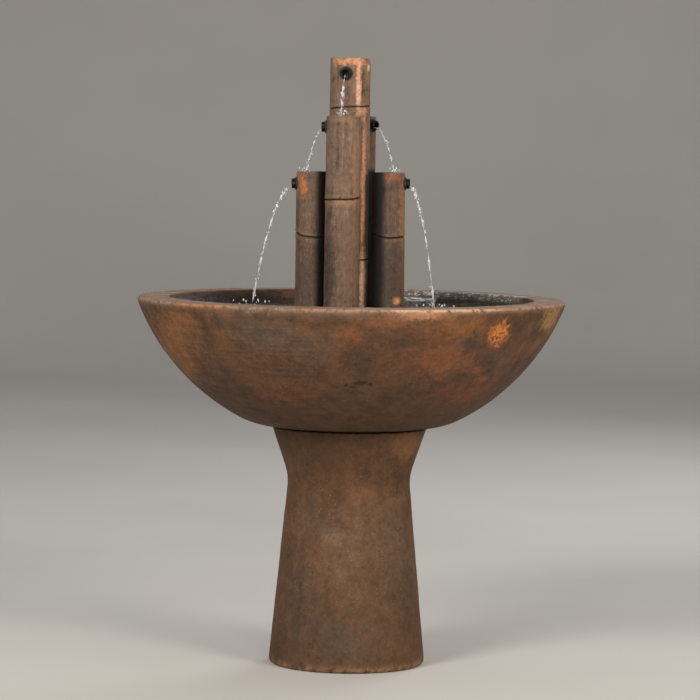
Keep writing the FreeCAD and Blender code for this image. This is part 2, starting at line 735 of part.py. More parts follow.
# Manifold: a hub under the tall stem, an arm to each other stem and a tee down to the pump
def make_manifold():
    solids = []
    bores = []
    for stem in STEMS:
        length = "0" if stem == "tall" else stem_reach(stem)
        name = f"manifold_{stem}"
        radius = "hub_radius" if stem == "tall" else "cap_radius"
        upright = [
            cylinder(name + "_cap", radius, "cap_half * 2", x=length, z="-cap_half"),
            cylinder(name + "_stub", "tube_bore_radius - fit_gap", "cap_half + stub_length", x=length),
        ]
        hollow = [cylinder(name + "_stub_bore", "water_bore_radius", "cap_half + stub_length", x=length)]
        if stem == "tall":
            hollow.append(cylinder("manifold_chamber", "hub_radius - hub_wall", "(cap_half - hub_wall) * 2",
                                   z="hub_wall - cap_half"))
        else:
            upright.append(cylinder(name + "_arm", "arm_radius", length, along="X"))
            hollow.append(cylinder(name + "_arm_bore", "arm_bore_radius", length, along="X"))
        if stem == "rear":
            stub = f"{MANIFOLD_HEIGHT} - {BARB_TOP} - seat_gap"
            upright.append(cylinder("manifold_supply", "tube_bore_radius - fit_gap", stub,
                                    x="supply_reach", z=f"-({stub})"))
            hollow.append(cylinder("manifold_supply_bore", "water_bore_radius", stub,
                                   x="supply_reach", z=f"-({stub})"))
        for parts, suffix, pile in ((upright, "_limb", solids), (hollow, "_way", bores)):
            limb = joined(name + suffix, parts)
            if stem != "tall":
                place(limb, turn=f"{stem}_heading")
            pile.append(limb)
    body = without("manifold", joined("manifold_solid", solids), joined("manifold_water", bores))
    place(body, "tall_x", "tall_y", f"{FLOOR_Z} + {MANIFOLD_HEIGHT}")
    return body


# Supply hose: a short length between the pump's adapter and the manifold's tee
def make_supply_hose():
    low = "(cup_height + pump_height + adapter_collar + seat_gap)"
    high = f"({MANIFOLD_HEIGHT} - arm_radius - seat_gap)"
    body = new_body("supply_hose")
    section = new_sketch(body, "supply_hose_section", "XY_Plane")
    draw_circle(section, "0", "0", "hose_radius")
    draw_circle(section, "0", "0", "tube_bore_radius")
    pad(body, section, f"{high} - {low}")
    place(body, OUTLET_X, OUTLET_Y, f"{FLOOR_Z} + {low}")
    return body


def long_edges(shape, length):
    """Names of the straight edges of one length that run along the shaft."""
    def fits(edge):
        return isinstance(edge.Curve, Part.Line) and math.isclose(edge.Length, length, abs_tol=0.01) and \
            math.isclose(abs(edge.tangentAt(edge.FirstParameter).x), 1, abs_tol=0.001)
    return edges_where(shape, fits)


def housing_block(label, start, length):
    """A block of the pump's outline with rounded long edges, from one place along the shaft."""
    body = new_body(label)
    section = new_sketch(body, label + "_section", "YZ_Plane", start)
    half_width, half_height = "pump_width / 2", "pump_height / 2"
    draw_outline(section, rectangle("-" + half_width, half_width, "-" + half_height, half_height))
    pad(body, section, length)
    round_off(body, label + "_rounding", long_edges(body.Shape, number(length)), "pump_round")
    return body


# Pump housing: bored for the rotor and impeller, with a bay for the coil and two slots for the core
def make_pump_body():
    body = housing_block("pump_body", f"-{PUMP_BACK}", f"{PUMP_BACK} + pump_front")
    bore = new_sketch(body, "pump_bore", "XZ_Plane")
    draw_outline(bore, [
        ("pump_front", "0"),
        ("pump_front", VOLUTE_RADIUS),
        ("-volute_back", VOLUTE_RADIUS),
        ("-volute_back", "chamber_radius"),
        (f"-{CHAMBER_END}", "chamber_radius"),
        (f"-{CHAMBER_END}", "boss_radius"),
        (f"-{CHAMBER_END} + boss_length", "boss_radius"),
        (f"-{CHAMBER_END} + boss_length", "bush_radius + fit_gap"),
        (f"-{CHAMBER_END}", "bush_radius + fit_gap"),
        (f"-{CHAMBER_END}", "0"),
    ])
    groove(body, bore, "H_Axis")
    bay = new_sketch(body, "pump_coil_bay", "YZ_Plane", f"-{PUMP_BACK}")
    half_bay = "(core_half_width + coil_build + bay_gap)"
    half_core = f"({CORE_HALF_HEIGHT} + seat_gap)"
    draw_outline(bay, rectangle("-" + half_bay, half_bay, "-" + half_core, half_core))
    pocket(body, bay, BAY_DEPTH, backwards=True)
    slots = new_sketch(body, "pump_core_slots", "YZ_Plane", f"-{PUMP_BACK}")
    slot_half = "(core_half_width + seat_gap)"
    slot_inner = f"({CORE_HALF_HEIGHT} - core_thick - seat_gap)"
    draw_outline(slots, rectangle("-" + slot_half, slot_half, slot_inner, half_core))
    draw_outline(slots, rectangle("-" + slot_half, slot_half, "-" + half_core, "-" + slot_inner))
    pocket(body, slots, f"{PUMP_BACK} - volute_back - core_front_wall + seat_gap", backwards=True)
    outlet = new_sketch(body, "pump_outlet", "XY_Plane", "pump_height / 2")
    draw_circle(outlet, "0", "0", "adapter_spigot_radius + fit_gap")
    pocket(body, outlet, f"pump_height / 2 - {VOLUTE_RADIUS} + adapter_seat")
    at_shaft(body)
    return body


# End plate: closes the coil bay and carries the cord's gland
def make_end_plate():
    body = housing_block("pump_end_plate", f"-{PUMP_BACK} - end_plate_thick", "end_plate_thick")
    hole = new_sketch(body, "end_plate_hole", "YZ_Plane", f"-{PUMP_BACK} - end_plate_thick")
    draw_circle(hole, "0", "-gland_below", "gland_neck_radius + fit_gap")
    pocket(body, hole, "end_plate_thick + fit_gap", backwards=True)
    at_shaft(body)
    return body


# Cord gland: a rubber nipple; the cord itself is left out
def make_gland():
    back = f"-{PUMP_BACK} - end_plate_thick"
    solid = joined("cord_gland_solid", [
        cylinder("cord_gland_neck", "gland_neck_radius", "end_plate_thick", x=back, z="-gland_below", along="X"),
        cylinder("cord_gland_nipple", "gland_radius", "gland_length", x=f"{back} - gland_length",
                 z="-gland_below", along="X"),
    ])
    bore = cylinder("cord_gland_bore", "gland_bore_radius", "gland_length + end_plate_thick",
                    x=f"{back} - gland_length", z="-gland_below", along="X")
    body = without("cord_gland", solid, bore)
    at_shaft(body)
    return body


# Stator core: a back bar and two legs, above and below the rotor's chamber
def make_core():
    back = f"(-{PUMP_BACK} + core_back_gap)"
    width = "core_half_width * 2"
    legs_length = f"-volute_back - core_front_wall - {back}"
    body = joined("stator_core", [
        block("core_bar", back, "core_thick", "-core_half_width", width,
              f"-{CORE_HALF_HEIGHT}", f"{CORE_HALF_HEIGHT} * 2"),
        block("core_upper_leg", back, legs_length, "-core_half_width", width,
              f"{CORE_HALF_HEIGHT} - core_thick", "core_thick"),
        block("core_lower_leg", back, legs_length, "-core_half_width", width,
              f"-{CORE_HALF_HEIGHT}", "core_thick"),
    ])
    at_shaft(body)
    return body


# Stator coil: a winding round the back bar
def make_coil():
    back = f"(-{PUMP_BACK} + core_back_gap - fit_gap)"
    hole_length = "(core_thick + fit_gap * 2)"
    half_hole = "(core_half_width + fit_gap)"
    height = f"{COIL_HALF_HEIGHT} * 2"
    winding = block("coil_winding", f"{back} - coil_build", f"{hole_length} + coil_build * 2",
                    f"-{half_hole} - coil_build", f"{half_hole} * 2 + coil_build * 2",
                    f"-{COIL_HALF_HEIGHT}", height)
    hole = block("coil_hole", back, hole_length, f"-{half_hole}", f"{half_hole} * 2",
                 f"-{COIL_HALF_HEIGHT}", height)
    body = without("stator_coil", winding, hole)
    at_shaft(body)
    return body


# Rotor magnet: a ring on the impeller's sleeve
def make_magnet():
    body = turned("rotor_magnet", "XY_Plane", "H_Axis", rectangle(
        f"-{MAGNET_BACK}", f"-{MAGNET_FRONT}", "sleeve_radius + fit_gap", "chamber_radius - magnet_gap"))
    at_shaft(body)
    return body


# Impeller: a sleeve, a disc and straight blades
def make_impeller():
    disc_back = "(-volute_back + impeller_end_gap)"
    disc_front = f"({disc_back} + impeller_disc)"
    blade_end = f"({FRONT_BUSH_START} - impeller_end_gap)"
    bore = "shaft_radius + fit_gap"
    body = turned("impeller", "XY_Plane", "H_Axis", [
        (f"-{SLEEVE_BACK}", bore),
        (blade_end, bore),
        (blade_end, "sleeve_radius"),
        (disc_front, "sleeve_radius"),
        (disc_front, IMPELLER_RADIUS),
        (disc_back, IMPELLER_RADIUS),
        (disc_back, "sleeve_radius"),
        (f"-{SLEEVE_BACK}", "sleeve_radius"),
    ])
    blade = new_sketch(body, "impeller_blade", "YZ_Plane", disc_front)
    draw_outline(blade, rectangle("-blade_half_thick", "blade_half_thick",
                                  "(shaft_radius + sleeve_radius) / 2", IMPELLER_RADIUS))
    first = pad(body, blade, f"{blade_end} - {disc_front}")
    repeat(body, "impeller_blades", first, IMPELLER_BLADES)
    at_shaft(body)
    return body


# Shaft: a ceramic pin between the two bushes
def make_shaft():
    start = f"(-{CHAMBER_END} + fit_gap)"
    pin = cylinder("ceramic_pin", "shaft_radius", f"{FRONT_BUSH_END} - {start}", along="X", x=start)
    body = grouped("impeller_shaft", [pin])
    at_shaft(body)
    return body


# Shaft bushes: two rubber rings, one in the housing's boss and one in the impeller cover
def make_bushes():
    rings = []
    spans = (
        ("back", f"(-{CHAMBER_END})", "boss_length"),
        ("front", FRONT_BUSH_START, f"({FRONT_BUSH_END} - {FRONT_BUSH_START})"),
    )
    for name, start, length in spans:
        outer = cylinder(f"{name}_bush_outer", "bush_radius", length, x=start, along="X")
        bore = cylinder(f"{name}_bush_bore", "shaft_radius + fit_gap", length, x=start, along="X")
        rings.append(without(f"{name}_bush", outer, bore))
    body = grouped("shaft_bushes", rings)
    at_shaft(body)
    return body


# Gasket: a flat ring between the housing and the impeller cover
def make_gasket():
    body = turned("cover_gasket", "XY_Plane", "H_Axis", rectangle(
        "pump_front", "pump_front + gasket_thick", VOLUTE_RADIUS, COVER_RADIUS))
    at_shaft(body)
    return body


# Impeller cover: a disc with a spigot, and an eye crossed by a bridge that holds the front bush
def make_impeller_cover():
    back = "(pump_front + gasket_thick)"
    body = turned("impeller_cover", "XY_Plane", "H_Axis", [
        (FRONT_BUSH_START, "bush_radius + fit_gap"),
        (f"{back} + cover_thick", "bush_radius + fit_gap"),
        (f"{back} + cover_thick", COVER_RADIUS),
        (back, COVER_RADIUS),
        (back, f"{VOLUTE_RADIUS} - fit_gap"),
        (FRONT_BUSH_START, f"{VOLUTE_RADIUS} - fit_gap"),
    ])
    eye = new_sketch(body, "cover_eye", "YZ_Plane", FRONT_BUSH_START)
    reach = "sqrt(eye_radius^2 - bridge_half^2)"
    inner = "sqrt(eye_boss_radius^2 - bridge_half^2)"
    draw_outline(eye, [
        ("bridge_half", inner),
        ("bridge_half", reach),
        Round("eye_radius", "right"),
        (reach, "bridge_half"),
        (inner, "bridge_half"),
        Round("eye_boss_radius", "left"),
    ])
    window = pocket(body, eye, "cover_thick + gasket_thick + cover_spigot + fit_gap", backwards=True)
    repeat(body, "cover_windows", window, COVER_WINDOWS)
    at_shaft(body)
    return body


# Intake cover: a slotted cap that pulls off the front of the pump
def make_intake_cover():
    body = housing_block("intake_cover", "pump_front", "strainer_length")
    hollow = new_sketch(body, "intake_hollow", "YZ_Plane", "pump_front")
    half_width = "(pump_width / 2 - strainer_wall)"
    half_height = "(pump_height / 2 - strainer_wall)"
    draw_outline(hollow, rectangle("-" + half_width, half_width, "-" + half_height, half_height))
    pocket(body, hollow, "strainer_length - strainer_wall", backwards=True)
    front = new_sketch(body, "intake_slots", "YZ_Plane", "pump_front + strainer_length")
    for index in range(SLOTS_EACH_SIDE):
        near = f"(slot_first + slot_pitch * {index} - slot_width / 2)"
        far = f"(slot_first + slot_pitch * {index} + slot_width / 2)"
        draw_outline(front, rectangle(near, far, "-slot_height / 2", "slot_height / 2"))
        draw_outline(front, rectangle("-" + far, "-" + near, "-slot_height / 2", "slot_height / 2"))
    draw_circle(front, "0", "0", "knob_stem_radius + fit_gap")
    pocket(body, front, "strainer_wall + fit_gap")
    at_shaft(body)
    return body


# Flow knob: a disc with a finger bar, held by a head behind the intake cover's front
def make_flow_knob():
    front = "(pump_front + strainer_length)"
    back = f"({front} - strainer_wall - fit_gap)"
    body = turned("flow_knob", "XY_Plane", "H_Axis", [
        (f"{back} - knob_head_length", "0"),
        (f"{front} + fit_gap + knob_thick", "0"),
        (f"{front} + fit_gap + knob_thick", "knob_radius"),
        (f"{front} + fit_gap", "knob_radius"),
        (f"{front} + fit_gap", "knob_stem_radius"),
        (back, "knob_stem_radius"),
        (back, "knob_head_radius"),
        (f"{back} - knob_head_length", "knob_head_radius"),
    ])
    bar = new_sketch(body, "knob_bar", "YZ_Plane", f"{front} + fit_gap + knob_thick")
    reach = "sqrt(knob_radius^2 - knob_grip_half^2)"
    draw_outline(bar, rectangle("-knob_grip_half", "knob_grip_half", "-" + reach, reach))
    pad(body, bar, "knob_grip")
    at_shaft(body)
    return body


# Hose adapter: a spigot in the housing, a collar on it and a barb in the supply hose
def make_adapter():
    top = "(pump_height / 2)"
    body = turned("hose_adapter", "XZ_Plane", "V_Axis", [
        ("water_bore_radius", f"{VOLUTE_RADIUS} + adapter_seat"),
        ("adapter_spigot_radius", f"{VOLUTE_RADIUS} + adapter_seat"),
        ("adapter_spigot_radius", top),
        ("adapter_collar_radius", top),
        ("adapter_collar_radius", f"{top} + adapter_collar"),
        ("tube_bore_radius - fit_gap", f"{top} + adapter_collar"),
        ("tube_bore_radius - fit_gap", f"{top} + adapter_collar + adapter_barb"),
        ("water_bore_radius", f"{top} + adapter_collar + adapter_barb"),
    ])
    at_shaft(body)
    return body


# Suction cups: four rubber feet that hold the pump on the bowl's floor
def make_cups():
    cups = []
    for end, x in (("back", f"-{PUMP_BACK} + cup_inset"), ("front", "pump_front - cup_inset")):
        for side, y in (("left", "cup_spread"), ("right", "-cup_spread")):
            cup = doc.addObject("Part::Cone", f"{end}_{side}_cup")
            bind(cup, "Radius1", "cup_radius")
            bind(cup, "Radius2", "cup_top_radius")
            bind(cup, "Height", "cup_height")
            place(cup, x, y, "-pump_height / 2 - cup_height")
            cups.append(cup)
    body = grouped("suction_cups", cups)
    at_shaft(body)
    return body


def make_all():
    pieces = [make_pedestal(), make_setting_pads(), make_basin(), make_stopper(), make_plinth()]
    for stem in STEMS:
        pieces += [make_stem(stem), make_spout(stem), make_ring(stem), make_elbow(stem), make_riser(stem)]
    pieces += [make_manifold(), make_supply_hose()]
    pieces += [make_pump_body(), make_end_plate(), make_gland(), make_core(), make_coil()]
    pieces += [make_magnet(), make_impeller(), make_shaft(), make_bushes(), make_gasket()]
    pieces += [make_impeller_cover(), make_intake_cover(), make_flow_knob(), make_adapter(), make_cups()]
    return pieces


def check_and_write(pieces):
    doc.recompute()
    for thing in doc.Objects:
        if "Invalid" in thing.State or "Error" in thing.State:
            raise ValueError(thing.Name + " failed")
    for piece in pieces:
        if piece.Shape.isNull() or not piece.Shape.isValid():
            raise ValueError(piece.Label + " has no valid shape")
    os.makedirs("parts", exist_ok=True)
    for piece in pieces:
        piece.Shape.exportStep(f"parts/{piece.Label}.step")
        box = piece.Shape.BoundBox
        print(f"{piece.Label}: {len(piece.Shape.Solids)} solid, {piece.Shape.Volume / 1000:.1f} cm3, "
              f"z {box.ZMin:.1f} to {box.ZMax:.1f}")


check_and_write(make_all())
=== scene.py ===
"""Cast stone basin fountain: the looks of its stone, stems, spouts, water and fittings."""
import math
import random
from collections import namedtuple

import bpy
from mathutils import Matrix, Vector


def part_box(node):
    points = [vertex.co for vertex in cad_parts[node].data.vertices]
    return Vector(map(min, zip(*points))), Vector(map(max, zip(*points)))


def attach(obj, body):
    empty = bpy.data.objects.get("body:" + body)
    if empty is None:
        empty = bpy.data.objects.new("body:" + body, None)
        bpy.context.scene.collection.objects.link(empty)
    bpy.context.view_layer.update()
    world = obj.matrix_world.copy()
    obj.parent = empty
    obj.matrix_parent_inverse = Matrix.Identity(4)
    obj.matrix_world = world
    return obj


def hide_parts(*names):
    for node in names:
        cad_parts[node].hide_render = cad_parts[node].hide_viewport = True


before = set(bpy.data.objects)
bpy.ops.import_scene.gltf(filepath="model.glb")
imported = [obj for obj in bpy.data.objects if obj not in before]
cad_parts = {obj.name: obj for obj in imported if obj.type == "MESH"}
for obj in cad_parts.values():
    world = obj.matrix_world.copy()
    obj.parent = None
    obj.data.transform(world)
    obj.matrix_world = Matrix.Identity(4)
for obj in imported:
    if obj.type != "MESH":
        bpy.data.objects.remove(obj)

bl_info = {
    "name": "Basin Fountain",
    "version": (1, 0, 0),
    "blender": (4, 5, 0),
    "location": "View3D > Sidebar > Fountain",
    "description": "Builds the weathered stone, spouts and running water of a basin fountain",
    "category": "Object",
}

MM = 0.001
GRAVITY = 9.81
BOWL_FOOT, BOWL_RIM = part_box("basin")[0].z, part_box("basin")[1].z
PLINTH_FOOT, PLINTH_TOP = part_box("plinth")[0].z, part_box("plinth")[1].z
PEDESTAL_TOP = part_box("pedestal")[1].z
WATER_LEVEL = BOWL_RIM - 0.018

# the bowl's section in millimetres, with heights above its underside
BOWL_HEIGHT = 228
BOWL_RADIUS = 381
BOWL_BULGE = 387
FOOT_RADIUS = 139.6
BELLY_ROUND = 125
BELLY_RADIUS, BELLY_HEIGHT = 197.2, 14.06
EDGE_ROUND = 7
MOUTH_RADIUS = 322
LIP_ROUND = 5
INSIDE_BULGE = 300
FLOOR_RADIUS, FLOOR_HEIGHT = 134, 40
DRAIN_TOP_RADIUS, DRAIN_LOW_RADIUS = 26, 22

# the pedestal's section in millimetres
PEDESTAL_FOOT_RADIUS, PEDESTAL_FOOT_ROUND = 140, 7
WAIST_RADIUS, WAIST_HEIGHT, WAIST_ROUND = 107.8, 335, 90
HEAD_RADIUS, HEAD_HEIGHT = 138, 423
HOLLOW_FOOT_RADIUS, HOLLOW_TOP_RADIUS = 106, 73.8
CORD_ARCH_WIDTH, CORD_ARCH_SIDE = 36, 20

# the plinth's section and its inlets in millimetres
PLINTH_RADIUS, PLINTH_WALL, PLINTH_ROUND = 124, 20, 6
INLET_WIDTH, INLET_SIDE = 26, 14

# a stem's nodes and its dished top in millimetres
SWELL_RISE, SWELL_REACH = 0.9, 8
GROOVE_DEPTH, GROOVE_REACH = 2.6, 1.0
TOP_EDGE = 3
DISH_BRIM, DISH_WALL, DISH_DEPTH = 8, 13, 5

# a stream's thinnest share of its width; drops in metres, and how many there are
THREAD = 0.14
DROP_RADII, SPLASH_RADII = (0.0008, 0.0020), (0.0008, 0.0019)
STRAY = 0.0032
FEWEST_DROPS, DROPS_PER_METRE, SPLASH_DROPS = 10, 120, 14
POOL_SPLASH, DISH_SPLASH = 0.050, 0.014
SPLASH_HEIGHTS = 0.003, 0.012

# points on a small rounding are this far apart, and edges sharper than this stay sharp
ROUNDING_STEP = 0.0018
SHARP_EDGE = math.radians(38)

# spouts, and the holes for their rings, in millimetres
SPOUT_RADIUS, SPOUT_BORE_RADIUS = 9, 6.5
SPOUT_REACH, SPOUT_BORE_DEPTH, SPOUT_LENGTH = 8, 12, 26
HOLE_RADIUS, HOLE_LENGTH, HOLE_MIDDLE = 11.75, 26, 14

# stems in millimetres above the deck; a spout's heading is in degrees from +Y
Stem = namedtuple("Stem", "foot top height nodes spout heading")
STEMS = {
    "tall": Stem(36.3, 36.2, 475.0, (116.2, 388.0), 447.0, 167.6),
    "front": Stem(31.8, 30.5, 372.0, (225.0,), 352.0, 84.0),
    "rear": Stem(31.0, 30.5, 373.0, (190.0,), 356.0, 232.3),
    "left": Stem(30.5, 30.0, 273.5, (157.0,), 251.5, 95.0),
    "right": Stem(31.0, 29.6, 273.5, (158.0,), 253.5, 265.0),
}
# how much higher, in millimetres, a stem's node lines are at its left (-1) and right (1) edge
NODE_SLOPES = {
    "tall": ((-1, -4.0), (1, 2.0)),
    "front": ((1, 3.0),),
    "rear": (),
    "left": ((-1, 9.0), (1, 1.0)),
    "right": ((-1, 9.0), (1, 2.0)),
}


def stem_foot(name):
    """Middle of a stem's foot on the deck."""
    low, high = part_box(f"{name}_stem")
    return Vector(((low.x + high.x) / 2, (low.y + high.y) / 2, PLINTH_TOP))


def spout_way(name):
    """Where the mouth of a stem's spout is, and the way it faces."""
    stem = STEMS[name]
    turn = math.radians(stem.heading)
    facing = Vector((-math.sin(turn), math.cos(turn), 0.0))
    side = stem.foot + (stem.top - stem.foot) * stem.spout / stem.height
    mouth = stem_foot(name) + facing * (side + SPOUT_REACH) * MM + Vector((0, 0, stem.spout * MM))
    return mouth, facing


def tone(red, green, blue):
    """A screen colour of 0 to 255 as the linear colour that a shader takes."""
    linear = []
    for part in (red, green, blue):
        share = part / 255
        linear.append(share / 12.92 if share <= 0.04045 else ((share + 0.055) / 1.055) ** 2.4)
    return tuple(linear)


# settings

def length(name, description, default):
    return bpy.props.FloatProperty(
        name=name, description=description, default=default, unit="LENGTH", precision=4
    )


def number(name, description, default):
    return bpy.props.FloatProperty(name=name, description=description, default=default)


def angle(name, description, default):
    return bpy.props.FloatProperty(
        name=name, description=description, default=math.radians(default), subtype="ANGLE"
    )


def colour(name, description, *default):
    return bpy.props.FloatVectorProperty(
        name=name, description=description, default=tone(*default), subtype="COLOR", size=3
    )


class StoneSettings(bpy.types.PropertyGroup):
    """The cast stone of the bowl, pedestal and plinth."""

    wear: length("Wear", "How deep the lumps of the skin go in", 0.0014)
    rim_wear: length("Rim wear", "How deep the rim is worn", 0.0022)
    umber: colour("Umber", "The brown of the stone", 96, 67, 45)
    dusk: colour("Dusk", "The dark brown of the stone", 62, 43, 30)
    # sand is also one of the colours of the painted highlight along the rim's outer edge
    sand: colour("Sand", "Worn edges", 184, 140, 108)


class StemSettings(bpy.types.PropertyGroup):
    """The cast bamboo stems."""

    fibre: length("Fibre", "Depth of the upright fibres", 0.0009)
    node_wave: length("Node wave", "How far a node line wanders up and down", 0.005)
    bark: colour("Bark", "The main brown of the stems", 118, 93, 76)
    shade: colour("Shade", "The dark streaks", 62, 50, 43)
    straw: colour("Straw", "The pale streaks", 150, 120, 98)


class SpoutSettings(bpy.types.PropertyGroup):
    """The short black spouts."""

    lip: length("Lip", "Rounding of the mouth", 0.0009)
    black: colour("Black", "The moulded black of the spouts", 11, 11, 11)


class WaterSettings(bpy.types.PropertyGroup):
    """The water in the bowl and from the spouts."""

    level: length("Level", "Height of the water above the floor", WATER_LEVEL)
    strand: length("Strand", "Radius of a stream where it leaves its spout", 0.0025)
    pool: colour("Pool", "The still water", 70, 66, 52)


class FittingSettings(bpy.types.PropertyGroup):
    """The pump, pipes and rubber."""

    rubber: colour("Rubber", "Pads, stopper and suction cups", 34, 33, 32)
    pump: colour("Pump", "Pump housing", 44, 47, 50)
    pipe: colour("Pipe", "Manifold and risers", 122, 126, 128)
    knob: colour("Knob", "Flow knob", 75, 124, 158)
    impeller: colour("Impeller", "Impeller", 224, 224, 221)


class StageSettings(bpy.types.PropertyGroup):
    """Floor, lights and camera."""

    distance: length("Distance", "Camera's distance in front of the bowl", 5.6939)
    height: length("Height", "Camera's height", 0.9338)
    sideways: length("Sideways", "Camera's place to the right", -0.0150)
    yaw: angle("Yaw", "Camera turned to the right", 0.139)
    pitch: angle("Pitch", "Camera tipped down", 3.758)
    roll: angle("Roll", "Camera rolled", 0.828)
    lens: number("Lens", "Focal length in millimetres", 164.571)
    floor: colour("Floor", "Floor and backdrop", 214, 210, 204)


# finishes

class Link:
    """A node's socket that can be used in sums."""

    def __init__(self, finish, socket):
        self.finish = finish
        self.socket = socket

    def _math(self, operation, *values):
        return self.finish.node("ShaderNodeMath", {"operation": operation}, dict(enumerate(values)))

    def __add__(self, other):
        return self._math("ADD", self, other)

    def __sub__(self, other):
        return self._math("SUBTRACT", self, other)

    def __mul__(self, other):
        return self._math("MULTIPLY", self, other)

    def __rsub__(self, other):
        return self._math("SUBTRACT", other, self)

    __radd__ = __add__

    def sine(self):
        return self._math("SINE", self)

    def least(self, other):
        return self._math("MINIMUM", self, other)

    def most(self, other):
        return self._math("MAXIMUM", self, other)

    def between(self, low, high):
        """0 below low, 1 above high and smooth between them; low may be the higher one."""
        return self.finish.node(
            "ShaderNodeMapRange",
            {"interpolation_type": "SMOOTHSTEP"},
            {"Value": self, "From Min": low, "From Max": high},
        )


class Finish:
    """A material: its node tree, and the nodes that most finishes share."""

    def __init__(self, name):
        self.material = bpy.data.materials.new(name)
        self.material.use_nodes = True
        self.tree = self.material.node_tree
        self.tree.nodes.clear()
        self.place = self.node("ShaderNodeTexCoord", out="Object")
        split = self.node("ShaderNodeSeparateXYZ", sockets={0: self.place}, out=None)
        self.x, self.y, self.z = (Link(self, socket) for socket in split.outputs)

    def node(self, kind, settings=None, sockets=None, out=0):
        """A new node, as the output that is asked for or, with out=None, as itself."""
        made = self.tree.nodes.new(kind)
        for name, value in (settings or {}).items():
            if name == "stops":
                self._stops(made.color_ramp, value)
            else:
                setattr(made, name, value)
        for name, value in (sockets or {}).items():
            if isinstance(value, Link):
                self.tree.links.new(value.socket, made.inputs[name])
            elif isinstance(value, tuple) and made.inputs[name].type == "RGBA":
                made.inputs[name].default_value = (*value[:3], 1.0)
            else:
                made.inputs[name].default_value = value
        return made if out is None else Link(self, made.outputs[out])

    def _stops(self, ramp, stops):
        """Sets the positions and colours of a colour ramp."""
        while len(ramp.elements) < len(stops):
            ramp.elements.new(1.0)
        for element, (position, shade) in zip(ramp.elements, stops):
            element.position = position
            element.color = (*shade, 1.0)

    def vector(self, operation, *values, out=0):
        sockets = dict(enumerate(values))
        return self.node("ShaderNodeVectorMath", {"operation": operation}, sockets, out)

    def noise(self, size, detail=4.0, rough=0.55, twist=0.0, shift=0.0):
        """Cloudy noise with lumps of that size, or of those sizes along x, y and z."""
        sizes = size if isinstance(size, tuple) else (size, size, size)
        where = self.vector("MULTIPLY", self.place, tuple(1 / part for part in sizes))
        if shift:
            where = self.vector("ADD", where, (shift, shift * 1.7, shift * 0.6))
        grain = {"Detail": detail, "Roughness": rough, "Distortion": twist}
        return self.node("ShaderNodeTexNoise", sockets={"Vector": where, "Scale": 1.0, **grain})

    def pits(self, size, share, shift=0.0):
        """1 in small round pits that are that size apart, 0 elsewhere."""
        where = self.vector("SCALE", self.place)
        where.socket.node.inputs["Scale"].default_value = 1 / size
        if shift:
            where = self.vector("ADD", where, (shift, shift, shift))
        spots = self.node("ShaderNodeTexVoronoi", sockets={"Vector": where, "Scale": 1.0})
        return spots.between(share, share * 0.45)

    def herds(self, size, share, shift, spread, spread_shift, low, high):
        """The same pits, in herds of that spread with bare stone between them."""
        herd = self.noise(spread, 3.0, shift=spread_shift).between(low, high)
        return self.pits(size, share, shift) * herd

    def spot(self, centre, reach, ragged=0.5, grain=0.02, shift=0.0):
        """A patch with ragged edges round a point; centre and half size are in millimetres."""
        away = self.vector("SUBTRACT", self.place, tuple(part * MM for part in centre))
        away = self.vector("DIVIDE", away, tuple(part * MM for part in reach))
        far = self.vector("LENGTH", away, out="Value")
        uneven = (self.noise(grain, 6.0, 0.7, shift=shift) - 0.5) * (ragged * 3.0)
        return (far + uneven).between(1.2, 0.4)

    def painted(self, name):
        """The number that was painted on the mesh under that name."""
        return self.node("ShaderNodeAttribute", {"attribute_name": name}, out="Fac")

    def ramp(self, amount, *stops):
        return self.node("ShaderNodeValToRGB", {"stops": stops}, {0: amount}, "Color")

    def mix(self, amount, first, second):
        """The first colour where the amount is 0, the second where it is 1."""
        settings = {"data_type": "RGBA", "clamp_factor": True}
        return self.node("ShaderNodeMix", settings, {0: amount, 6: first, 7: second}, 2)

    def shaded(self, base, amount):
        """The same colour, lighter or darker."""
        return self.node("ShaderNodeVectorMath", {"operation": "SCALE"}, {0: base, "Scale": amount})

    def mottled(self, base, size, share, shift=0.0, detail=5.0):
        """Lighter and darker clouds of one size."""
        clouds = self.noise(size, detail, 0.68, shift=shift).between(0.34, 0.66)
        return self.shaded(base, 1 - share + clouds * (2 * share))

    def patched(self, base, patches):
        """Ragged patches, each of a centre, reach, screen colour, strength and grain."""
        broken = self.noise(0.009, 5.0, 0.72, shift=21.0).between(0.30, 0.56)
        for index, (centre, reach, tint, strength, grain) in enumerate(patches):
            patch = self.spot(centre, reach, 0.9, grain, index * 1.3)
            base = self.mix(patch * (broken * 0.55 + 0.45) * strength, base, tone(*tint))
        return base

    def bump(self, height, depth, strength=1.0, under=None):
        """A rise of up to that depth, on top of the rise under it."""
        sockets = {"Height": height, "Distance": depth, "Strength": strength}
        if under is not None:
            sockets["Normal"] = under
        return self.node("ShaderNodeBump", sockets=sockets)

    def surface(self, base, roughness, normal=None, **constants):
        """The finished material; constants are the shader's other sockets."""
        sockets = {"Base Color": base, "Roughness": roughness}
        if normal is not None:
            sockets["Normal"] = normal
        sockets.update({name.replace("_", " "): value for name, value in constants.items()})
        shader = self.node("ShaderNodeBsdfPrincipled", sockets=sockets)
        self.node("ShaderNodeOutputMaterial", sockets={"Surface": shader}, out=None)
        return self.material


def darker(shade, share):
    """A share of a colour; over 1 it is lighter."""
    return tuple(part * share for part in shade)


def weathered(finish, look, broad, fine):
    """The brown of cast stone: dark and light clouds of two sizes."""
    blend = finish.noise(broad, 6.0, 0.62, 0.4) * 0.55 + finish.noise(fine, 8.0, 0.68) * 0.45
    return finish.ramp(
        blend,
        (0.34, tuple(look.dusk)),
        (0.46, darker(look.umber, 0.78)),
        (0.54, tuple(look.umber)),
        (0.68, darker(look.umber, 1.5)),
    )


